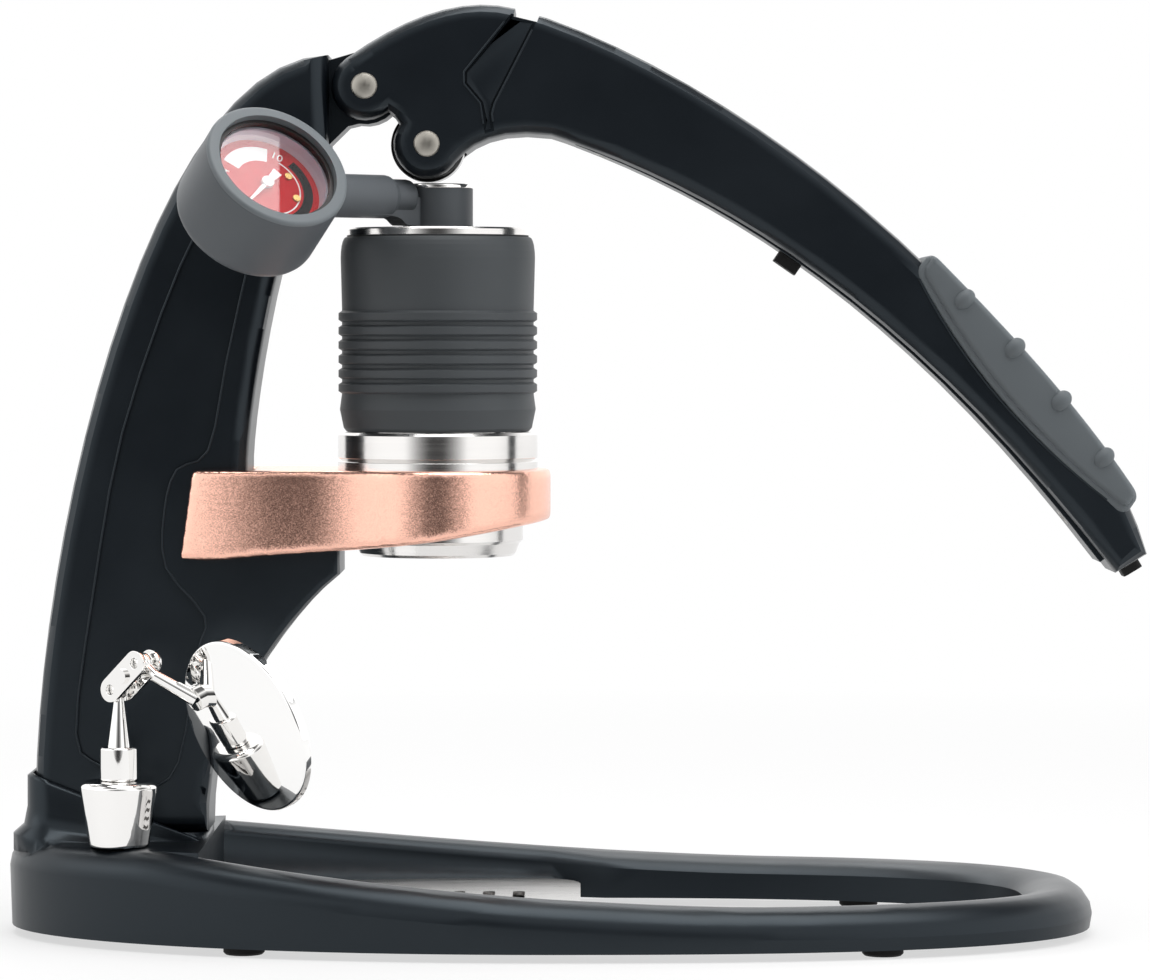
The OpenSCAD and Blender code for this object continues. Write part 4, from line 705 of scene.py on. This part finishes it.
def capsule(name, radius, reach, place):
    bpy.ops.object.select_all(action="DESELECT")
    bpy.ops.mesh.primitive_uv_sphere_add(segments=RIDGE_SIDES, ring_count=RIDGE_RINGS, radius=radius)
    piece = bpy.context.object
    piece.name = name
    for vertex in piece.data.vertices:
        vertex.select = vertex.co.z > radius * EQUATOR_GAP
    bpy.ops.object.mode_set(mode="EDIT")
    bpy.ops.mesh.select_mode(type="VERT")
    bpy.ops.transform.translate(value=(0.0, 0.0, 2 * (reach - radius)))
    bpy.ops.mesh.select_all(action="SELECT")
    bpy.ops.transform.translate(value=(0.0, 0.0, radius - reach))
    bpy.ops.object.mode_set(mode="OBJECT")
    bpy.ops.object.shade_smooth()
    piece.scale = (RIDGE_STRETCH, 1.0, 1.0)
    fix_place()
    piece.rotation_euler = (0.0, 0.0, math.radians(RIDGE_LEAN))
    fix_place()
    piece.rotation_euler = STAND_UP
    piece.location = place
    fix_place()
    return piece


for k in range(RIDGE_COUNT):
    along = k / (RIDGE_COUNT - 1)
    place = FIRST_RIDGE.lerp(LAST_RIDGE, along) + RIDGE_BOW * 4 * along * (1 - along)
    ridge = capsule(f"grip_ridge_{k + 1}", RIDGE_RADIUS, RIDGE_REACH, place)
    coat(ridge, grip_grey)
    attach(ridge, "lever")
print("ridges:", RIDGE_COUNT)

# %% [markdown]
# ## Domed pin heads
# Seen from the side, the lever's two pins end in plain, slightly domed heads.
# A dome is the top of a large ball: the ball is cut with bisect, and the cut is
# filled, so that the cap is closed.

# %% Pin domes
DOME_RADIUS = 0.0036
DOME_HEIGHT = 0.0007
DOME_SIDES = 64
BALL_RINGS = 96
DOME_SHARP = 30.0
Z_AXIS = (0.0, 0.0, 1.0)


def round_cap(name, rim, height):
    ball = (rim * rim + height * height) / (2 * height)
    bpy.ops.object.select_all(action="DESELECT")
    bpy.ops.mesh.primitive_uv_sphere_add(segments=DOME_SIDES, ring_count=BALL_RINGS, radius=ball)
    piece = bpy.context.object
    piece.name = name
    piece.location = (0.0, 0.0, height - ball)
    fix_place()
    bpy.ops.object.mode_set(mode="EDIT")
    bpy.ops.mesh.select_all(action="SELECT")
    bpy.ops.mesh.bisect(plane_co=ORIGIN, plane_no=Z_AXIS, clear_inner=True, use_fill=True)
    bpy.ops.object.mode_set(mode="OBJECT")
    bpy.ops.object.shade_smooth_by_angle(angle=math.radians(DOME_SHARP))
    return piece


for pin in ("pivot_pin", "roller_pin"):
    corners = [v.co for v in nodes[pin].data.vertices]
    face = min(c.y for c in corners)
    middle_x = (min(c.x for c in corners) + max(c.x for c in corners)) / 2
    middle_z = (min(c.z for c in corners) + max(c.z for c in corners)) / 2
    dome = round_cap(pin + "_dome", DOME_RADIUS, DOME_HEIGHT)
    dome.rotation_euler = STAND_UP
    dome.location = (middle_x, face, middle_z)
    fix_place()
    coat(dome, pin_steel)
    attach(dome, "lever")
    print(dome.name, len(dome.data.polygons), "faces")

# %% [markdown]
# ## The dial's plane
# The gauge looks up and towards the lever's grip, so its shell and the print on
# its dial are modelled lying flat and are then turned into place. The dial's
# plane comes from the needle's joint, whose axis stands upright on the dial.

# %% The dial's plane
joint_of = {j["name"]: j for j in frame["record"]["behaviour"]["joints"]}
dial_normal = -Vector(joint_of["needle_turn"]["axis"]).normalized()
dial_middle = Vector(joint_of["needle_turn"]["pos_m"])
dial_right = Vector((-dial_normal.y, dial_normal.x, 0.0)).normalized()
dial_up = dial_normal.cross(dial_right)
dial_points = [v.co - dial_middle for v in nodes["gauge_dial"].data.vertices]
dial_face = max(dial_normal.dot(p) for p in dial_points)
dial_radius = max((p - dial_normal * dial_normal.dot(p)).length for p in dial_points)
dial_turn = Matrix((dial_right, dial_up, dial_normal)).transposed().to_4x4()
print("dial radius:", round(dial_radius * 1000, 2), "mm, face at", round(dial_face * 1000, 2), "mm")

# %% [markdown]
# ## The gauge's shell
# The gauge's case is a turned cup with a paler ring around its glass, and a
# hairline parts the two. The ring's paler coat is partly its own tone and partly
# painted light on the front that faces the lamps. Both are lathe work, so each
# is drawn as half of its section, point by point, and spun all the way around
# the dial's axis. The sizes are measured on the solids that they stand for.

# %% Lathe helper
LATHE_STEPS = 96
LATHE_WELD = 0.000005
LATHE_SHARP = 35.0
ARC_STEPS = 6


def turned(name, profile):
    bpy.ops.object.select_all(action="DESELECT")
    bpy.ops.mesh.primitive_plane_add(size=1.0, location=ORIGIN)
    piece = bpy.context.object
    piece.name = name
    bpy.ops.object.mode_set(mode="EDIT")
    bpy.ops.mesh.select_all(action="SELECT")
    bpy.ops.mesh.merge(type="CENTER")
    bpy.ops.transform.translate(value=(profile[0][0], 0.0, profile[0][1]))
    for (r0, z0), (r1, z1) in zip(profile, profile[1:]):
        bpy.ops.mesh.extrude_region_move(TRANSFORM_OT_translate={"value": (r1 - r0, 0.0, z1 - z0)})
    bpy.ops.mesh.select_all(action="SELECT")
    bpy.ops.mesh.spin(steps=LATHE_STEPS, angle=math.tau, center=ORIGIN, axis=Z_AXIS)
    close_and_smooth(LATHE_WELD, LATHE_SHARP)
    return piece


def quarter_round(middle_r, middle_z, radius, start, end):
    turns = [math.radians(start + (end - start) * k / ARC_STEPS) for k in range(ARC_STEPS + 1)]
    return [(middle_r + radius * math.cos(a), middle_z + radius * math.sin(a)) for a in turns]


# %% Shell and front ring
LENS_PLAY = 0.0001
BACK_ROUND = 0.0035
FRONT_ROUND = 0.0011
RING_DEPTH = 0.0013
GROOVE = 0.0001
SHELL_WALL = 0.0024


def along_dial(name):
    return [dial_normal.dot(v.co - dial_middle) for v in nodes[name].data.vertices]


def across_dial(name):
    return max(dial_normal.cross(v.co - dial_middle).length for v in nodes[name].data.vertices)


shell_r = across_dial("gauge_housing")
shell_front = max(along_dial("gauge_housing"))
shell_back = min(along_dial("gauge_housing"))
opening_r = across_dial("gauge_lens") + LENS_PLAY
lens_back = min(along_dial("gauge_lens"))
parting = shell_front - RING_DEPTH
shell_profile = [(0.0, shell_back)]
shell_profile += quarter_round(shell_r - BACK_ROUND, shell_back + BACK_ROUND, BACK_ROUND, -90.0, 0.0)
shell_profile += [(shell_r, parting - GROOVE / 2), (shell_r - GROOVE, parting)]
shell_profile += [(shell_r - SHELL_WALL, parting), (shell_r - SHELL_WALL, shell_back + SHELL_WALL)]
shell_profile += [(0.0, shell_back + SHELL_WALL)]
ring_profile = [(shell_r - GROOVE, parting), (shell_r, parting + GROOVE / 2)]
ring_profile += quarter_round(shell_r - FRONT_ROUND, shell_front - FRONT_ROUND, FRONT_ROUND, 0.0, 90.0)
ring_profile += [(opening_r + GROOVE / 2, shell_front), (opening_r, shell_front - GROOVE / 2)]
ring_profile += [(opening_r, lens_back), (shell_r - GROOVE, lens_back), (shell_r - GROOVE, parting)]
# The front ring gets the paler coat, which is partly painted light.
for name, profile, finish in (
    ("gauge_shell", shell_profile, gauge_coat),
    ("gauge_front_ring", ring_profile, pale_lit_ring_coat),
):
    piece = turned(name, profile)
    piece.matrix_world = Matrix.Translation(dial_middle) @ dial_turn
    fix_place()
    coat(piece, finish)
    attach(piece, "gauge")
    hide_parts("gauge_housing")
    print(name, len(piece.data.polygons), "faces")

# %% [markdown]
# ## The mirror's back
# The mirror's metal back is turned like the gauge's shell, and its plane is read
# from the largest face of the solid. A flat mirror shows exactly what its
# normal points at, and a few degrees decide between the white floor and the
# black deck. So its finish tips the normal up a little, with a bump whose
# height falls evenly from bottom to top.

# %% Mirror back
BACK_EDGE = 0.0008
GLASS_EDGE = 0.0014
GLASS_DEPTH = 0.0018
back_points = [v.co for v in nodes["mirror_back"].data.vertices]
widest = max(nodes["mirror_back"].data.polygons, key=lambda face: face.area)
back_normal = widest.normal.copy()
if back_normal.y > 0.0:
    back_normal.negate()
mirror_middle = sum(back_points, Vector()) / len(back_points)
levels = [back_normal.dot(q - mirror_middle) for q in back_points]
mirror_middle = mirror_middle + back_normal * (max(levels) + min(levels)) / 2
back_r = max(back_normal.cross(q - mirror_middle).length for q in back_points)
half = (max(levels) - min(levels)) / 2
back_profile = [(0.0, half)]
back_profile += quarter_round(back_r - BACK_EDGE, half - BACK_EDGE, BACK_EDGE, 90.0, 0.0)
back_profile += [(back_r, BACK_EDGE / 2 - half), (back_r - BACK_EDGE / 2, -half)]
back_profile += [(back_r - GLASS_EDGE, -half), (back_r - GLASS_EDGE, GLASS_DEPTH - half)]
back_profile += [(0.0, GLASS_DEPTH - half)]
plate = turned("mirror_plate", back_profile)
back_turn = back_normal.to_track_quat("Z", "Y").to_matrix().to_4x4()
plate.matrix_world = Matrix.Translation(mirror_middle) @ back_turn
fix_place()
print("mirror back radius:", round(back_r * 1000, 2), "mm,", len(plate.data.polygons), "faces")

# %% Tipped finish
TIP = 0.16
tipped, tipped_tree, tipped_shader = new_finish(
    "Polished mirror back", (0.96, 0.955, 0.945), 0.02, metallic=1.0
)
uphill = (Vector((0.0, 0.0, 1.0)) - back_normal * back_normal.z).normalized()
spot = add_node(tipped_tree, "ShaderNodeTexCoord")
fall = add_node(tipped_tree, "ShaderNodeVectorMath", operation="DOT_PRODUCT")
fall.inputs[1].default_value = uphill * -TIP
slope = add_node(tipped_tree, "ShaderNodeBump", Strength=1.0, Distance=1.0)
wear = place_group(tipped_tree, grain_group, Grains_per_metre=POLISH_GRAINS, Low=0.015, High=0.035)
join(tipped_tree, spot, "Object", fall, 0)
join(tipped_tree, fall, "Value", slope, "Height")
join(tipped_tree, slope, "Normal", tipped_shader, "Normal")
join(tipped_tree, wear, "Value", tipped_shader, "Roughness")
coat(plate, tipped)
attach(plate, body_of_node["mirror_back"])
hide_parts("mirror_back")
print("mirror back tipped by", round(math.degrees(math.atan(TIP)), 1), "degrees")

# %% [markdown]
# ## The dial's print
# A gauge's dial is printed: bands for its ranges, a thin scale line and a few
# numbers. Print has hardly any height, so each band is an edge that is spun
# around the dial's middle and given a thickness of a few hundredths of a
# millimetre.

# %% Bands and scale line
PRINT_HEIGHT = 0.00004
DEGREES_PER_STEP = 3
FEWEST_STEPS = 8
print_place = Matrix.Translation(dial_middle + dial_normal * dial_face) @ dial_turn


def settle_print(piece, finish):
    pick_only(piece)
    piece.matrix_world = print_place
    fix_place()
    coat(piece, finish)
    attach(piece, "gauge")


def dial_band(name, inner, outer, start, end, finish):
    bpy.ops.object.select_all(action="DESELECT")
    bpy.ops.mesh.primitive_plane_add(size=1.0, location=ORIGIN)
    piece = bpy.context.object
    piece.name = name
    bpy.ops.object.mode_set(mode="EDIT")
    bpy.ops.mesh.select_all(action="DESELECT")
    bpy.ops.object.mode_set(mode="OBJECT")
    for vertex in piece.data.vertices:
        vertex.select = vertex.co.y > 0.0
    bpy.ops.object.mode_set(mode="EDIT")
    bpy.ops.mesh.delete(type="VERT")
    bpy.ops.mesh.select_all(action="SELECT")
    bpy.ops.transform.translate(value=(0.0, 0.5, 0.0))
    width = (outer - inner) * dial_radius
    bpy.ops.transform.resize(value=(width, 1.0, 1.0), center_override=ORIGIN)
    bpy.ops.transform.translate(value=((outer + inner) / 2 * dial_radius, 0.0, 0.0))
    steps = max(FEWEST_STEPS, round(abs(end - start) / DEGREES_PER_STEP))
    bpy.ops.mesh.spin(steps=steps, angle=math.radians(start - end), center=ORIGIN, axis=Z_AXIS)
    bpy.ops.object.mode_set(mode="OBJECT")
    piece.rotation_euler = (0.0, 0.0, math.radians(start))
    fix_place()
    finish_with(piece, "print", "SOLIDIFY", thickness=PRINT_HEIGHT, offset=0.0)
    bpy.ops.object.mode_set(mode="EDIT")
    bpy.ops.mesh.select_all(action="SELECT")
    bpy.ops.mesh.normals_make_consistent(inside=False)
    bpy.ops.object.mode_set(mode="OBJECT")
    settle_print(piece, finish)
    print(name, len(piece.data.polygons), "faces")


# Inner and outer radius as shares of the dial's, then the first and last angle in degrees.
dial_band("dial_band_work", 0.52, 0.81, 140.0, 70.0, dial_white)
dial_band("dial_band_stop", 0.68, 0.85, 36.0, -75.0, dial_black)
dial_band("dial_scale_line", 0.605, 0.630, 50.0, -80.0, dial_white)

# %% [markdown]
# The numbers start as text objects. A text is made a mesh before its place is
# applied, because only a mesh keeps its place in its points.

# %% Numbers
SCALE_START = 225.0
SCALE_SWEEP = 270.0
SCALE_UNITS = 16
SHOWN_UNITS = (0, 2, 4, 10)
NUMBER_RADIUS = 0.72 * dial_radius
NUMBER_HEIGHT = 0.0038
NUMBER_CURVE_STEPS = 3


def dial_number(value, angle):
    bpy.ops.object.select_all(action="DESELECT")
    bpy.ops.object.text_add(location=ORIGIN)
    piece = bpy.context.object
    piece.name = "dial_number_" + value
    piece.data.body = value
    piece.data.size = NUMBER_HEIGHT
    piece.data.align_x = "CENTER"
    piece.data.align_y = "CENTER"
    piece.data.extrude = PRINT_HEIGHT / 2
    piece.data.resolution_u = NUMBER_CURVE_STEPS
    bpy.ops.object.convert(target="MESH")
    piece = bpy.context.object
    around = math.radians(angle)
    piece.location = (NUMBER_RADIUS * math.cos(around), NUMBER_RADIUS * math.sin(around), 0.0)
    piece.rotation_euler = (0.0, 0.0, around - math.pi / 2)
    fix_place()
    settle_print(piece, dial_white)


for unit in SHOWN_UNITS:
    dial_number(str(unit), SCALE_START - SCALE_SWEEP / SCALE_UNITS * unit)
print("numbers:", len(SHOWN_UNITS))

# %% [markdown]
# ## Studio
# A pale floor that ends in front of the object, soft light from above and from
# both sides, and a world that is white behind the object and dim behind the
# camera, as in a photo studio where the object stands in front of a bright
# paper roll. The dim side keeps the black coat black, because a smooth black
# thing shows what it mirrors. Seen directly, mirrored or through glass, the
# floor glows more and more with its distance from the object, so that it runs
# into the white without an edge.

# %% Floor
FLOOR_SIZE = 8.0
FLOOR_FRONT = -0.6
GLOW_FROM = 0.2
GLOW_TO = 0.9
GLOW_NEAR = 0.64
GLOW_FAR = 1.0
WHITE = (1.0, 1.0, 1.0, 1.0)
bpy.ops.mesh.primitive_plane_add(size=FLOOR_SIZE, location=(0.0, FLOOR_FRONT + FLOOR_SIZE / 2, 0.0))
fix_place()
floor = bpy.context.object
floor.name = "floor"
paper, paper_tree, paper_shader = new_finish("Pale floor", (0.86, 0.86, 0.86), 0.6, specular=0.1)
paper_out = paper_tree.nodes["Material Output"]
glow = add_node(paper_tree, "ShaderNodeEmission", Color=WHITE, Strength=1.0)
ray = add_node(paper_tree, "ShaderNodeLightPath")
spot = add_node(paper_tree, "ShaderNodeTexCoord")
reach = add_node(paper_tree, "ShaderNodeVectorMath", operation="LENGTH")
fade = range_node(paper_tree, GLOW_FROM, GLOW_TO, GLOW_NEAR, GLOW_FAR)
seen = add_node(paper_tree, "ShaderNodeMath", operation="MAXIMUM")
seen_clear = add_node(paper_tree, "ShaderNodeMath", operation="MAXIMUM")
share = add_node(paper_tree, "ShaderNodeMath", operation="MULTIPLY")
mix = add_node(paper_tree, "ShaderNodeMixShader")
join(paper_tree, spot, "Object", reach, 0)
join(paper_tree, reach, "Value", fade, "Value")
join(paper_tree, ray, "Is Camera Ray", seen, 0)
join(paper_tree, ray, "Is Glossy Ray", seen, 1)
join(paper_tree, seen, "Value", seen_clear, 0)
join(paper_tree, ray, "Is Transmission Ray", seen_clear, 1)
join(paper_tree, seen_clear, "Value", share, 0)
join(paper_tree, fade, "Result", share, 1)
join(paper_tree, share, "Value", mix, "Fac")
join(paper_tree, paper_shader, "BSDF", mix, 1)
join(paper_tree, glow, "Emission", mix, 2)
join(paper_tree, mix, "Shader", paper_out, "Surface")
floor.data.materials.append(paper)
print("floor:", tuple(floor.dimensions))

# %% [markdown]
# The world answers three kinds of rays. The camera, and what it sees through
# glass, gets plain white. Mirrored rays get the room: white all round, dim
# straight behind the camera and dim overhead. All other rays get a weak even
# light, so that the lamps make the shading.

# %% World
DIM_UP_TO = -0.99
BRIGHT_FROM = -0.81
DIM = 0.06
BRIGHT = 1.3
CEILING_FROM = 0.55
CEILING_TO = 0.75
CEILING_SHARE = 0.12
FILL_STRENGTH = 0.14
world = bpy.data.worlds.new("Studio")
bpy.context.scene.world = world
world.use_nodes = True
sky = world.node_tree
sky.nodes.clear()
sky_out = add_node(sky, "ShaderNodeOutputWorld")
ray = add_node(sky, "ShaderNodeLightPath")
toward = add_node(sky, "ShaderNodeTexCoord")
apart = add_node(sky, "ShaderNodeSeparateXYZ")
side = range_node(sky, DIM_UP_TO, BRIGHT_FROM, DIM, BRIGHT)
ceiling = range_node(sky, CEILING_FROM, CEILING_TO, 1.0, CEILING_SHARE)
level = add_node(sky, "ShaderNodeMath", operation="MULTIPLY")
fill_light = add_node(sky, "ShaderNodeBackground", Color=WHITE, Strength=FILL_STRENGTH)
shown = add_node(sky, "ShaderNodeBackground", Color=WHITE, Strength=1.0)
room = add_node(sky, "ShaderNodeBackground", Color=WHITE)
camera_or_glass = add_node(sky, "ShaderNodeMath", operation="MAXIMUM")
glossy_mix = add_node(sky, "ShaderNodeMixShader")
shown_mix = add_node(sky, "ShaderNodeMixShader")
join(sky, toward, "Generated", apart, "Vector")
join(sky, apart, "Y", side, "Value")
join(sky, apart, "Z", ceiling, "Value")
join(sky, side, "Result", level, 0)
join(sky, ceiling, "Result", level, 1)
join(sky, level, "Value", room, "Strength")
join(sky, ray, "Is Glossy Ray", glossy_mix, "Fac")
join(sky, fill_light, "Background", glossy_mix, 1)
join(sky, room, "Background", glossy_mix, 2)
join(sky, ray, "Is Camera Ray", camera_or_glass, 0)
join(sky, ray, "Is Transmission Ray", camera_or_glass, 1)
join(sky, camera_or_glass, "Value", shown_mix, "Fac")
join(sky, glossy_mix, "Shader", shown_mix, 1)
join(sky, shown, "Background", shown_mix, 2)
join(sky, shown_mix, "Shader", sky_out, "Surface")
print("world:", world.name)

# %% [markdown]
# ## Camera
# The photograph looks at the side of the maker from about the height of the
# brew cylinder, from far enough that the perspective is gentle. A shift moves
# the frame down, as a view camera does, so the uprights stay upright.

# %% Camera
CAMERA_DISTANCE = 1.337
CAMERA_HEIGHT = 0.1726
FOCAL_PIXELS = 4641.0
PHOTO_WIDTH = 1150.0
PHOTO_HEIGHT = 980.0
HORIZON_Y = 330.0
SENSOR_WIDTH = 36.0
camera_data = bpy.data.cameras.new("camera")
camera = bpy.data.objects.new("camera", camera_data)
bpy.context.scene.collection.objects.link(camera)
camera_place = Vector((0.0, -CAMERA_DISTANCE, CAMERA_HEIGHT))
camera.location = camera_place
camera.rotation_euler = STAND_UP
camera_data.sensor_width = SENSOR_WIDTH
camera_data.lens = FOCAL_PIXELS / PHOTO_WIDTH * SENSOR_WIDTH
camera_data.shift_y = -(PHOTO_HEIGHT / 2 - HORIZON_Y) / PHOTO_WIDTH
bpy.context.scene.camera = camera
print("lens:", round(camera_data.lens, 1), "mm")

# %% [markdown]
# ## Lamps
# The lens is flat, so from the camera it mirrors one small patch of the room.
# The key lamp is hung so that one straight edge of it lies in that patch: the
# part of the lens left of the edge then shows a pale veil, and the part right
# of it shows the dial in its full colour. The camera's line of sight is bounced
# off the lens to find the lamp's place, and the upright line in the picture is
# bounced the same way to find how the lamp is turned.

# %% Key lamp
LENS_EDGE_SHIFT = 0.002
KEY_REACH = 1.1
KEY_WIDTH = 1.4
KEY_LENGTH = 1.5
KEY_POWER = 25.0


def area_lamp(name, width, length, power):
    data = bpy.data.lights.new(name, "AREA")
    data.shape = "RECTANGLE"
    data.size = width
    data.size_y = length
    data.energy = power
    lamp = bpy.data.objects.new(name, data)
    bpy.context.scene.collection.objects.link(lamp)
    return lamp


lens_face = max(along_dial("gauge_lens"))
edge_point = dial_middle + dial_normal * lens_face + dial_right * LENS_EDGE_SHIFT
sight = (edge_point - camera_place).normalized()
bounce = sight.reflect(dial_normal)
lamp_side = -Vector((sight.y, -sight.x, 0.0)).normalized().reflect(dial_normal)
key_place = edge_point + bounce * KEY_REACH + lamp_side * KEY_WIDTH / 2
key_turn = Matrix((lamp_side, bounce.cross(lamp_side), bounce)).transposed()
key_lamp = area_lamp("lamp_key", KEY_WIDTH, KEY_LENGTH, KEY_POWER)
key_lamp.matrix_world = Matrix.Translation(key_place) @ key_turn.to_4x4()
print("key lamp:", [round(c, 3) for c in key_place])

# %% [markdown]
# Three weaker lamps stand at the left, at the right and behind, and all of them
# are aimed at the maker's middle. The right one is hidden from mirrored rays: it
# lights the matt pieces and draws no bright patch on the smooth ones.

# %% Side lamps
LAMP_AIM = Vector((0.0, 0.0, 0.13))
# Name, place, width, length, power, and whether smooth pieces mirror it.
SIDE_LAMPS = (
    ("lamp_left", Vector((-1.2, -0.3, 0.9)), 0.8, 1.2, 3.0, True),
    ("lamp_right", Vector((1.2, -0.2, 0.45)), 0.9, 1.1, 9.0, False),
    ("lamp_back", Vector((-0.3, 0.9, 1.1)), 1.2, 0.4, 5.0, True),
)
for name, place, width, length, power, mirrored in SIDE_LAMPS:
    lamp = area_lamp(name, width, length, power)
    lamp.location = place
    lamp.rotation_euler = (LAMP_AIM - place).to_track_quat("-Z", "Y").to_euler()
    lamp.visible_glossy = mirrored
print("side lamps:", len(SIDE_LAMPS))

# %% [markdown]
# ## Finish
# The Standard view keeps the colours as they were set.

# %% Finish
bpy.context.scene.view_settings.view_transform = "Standard"
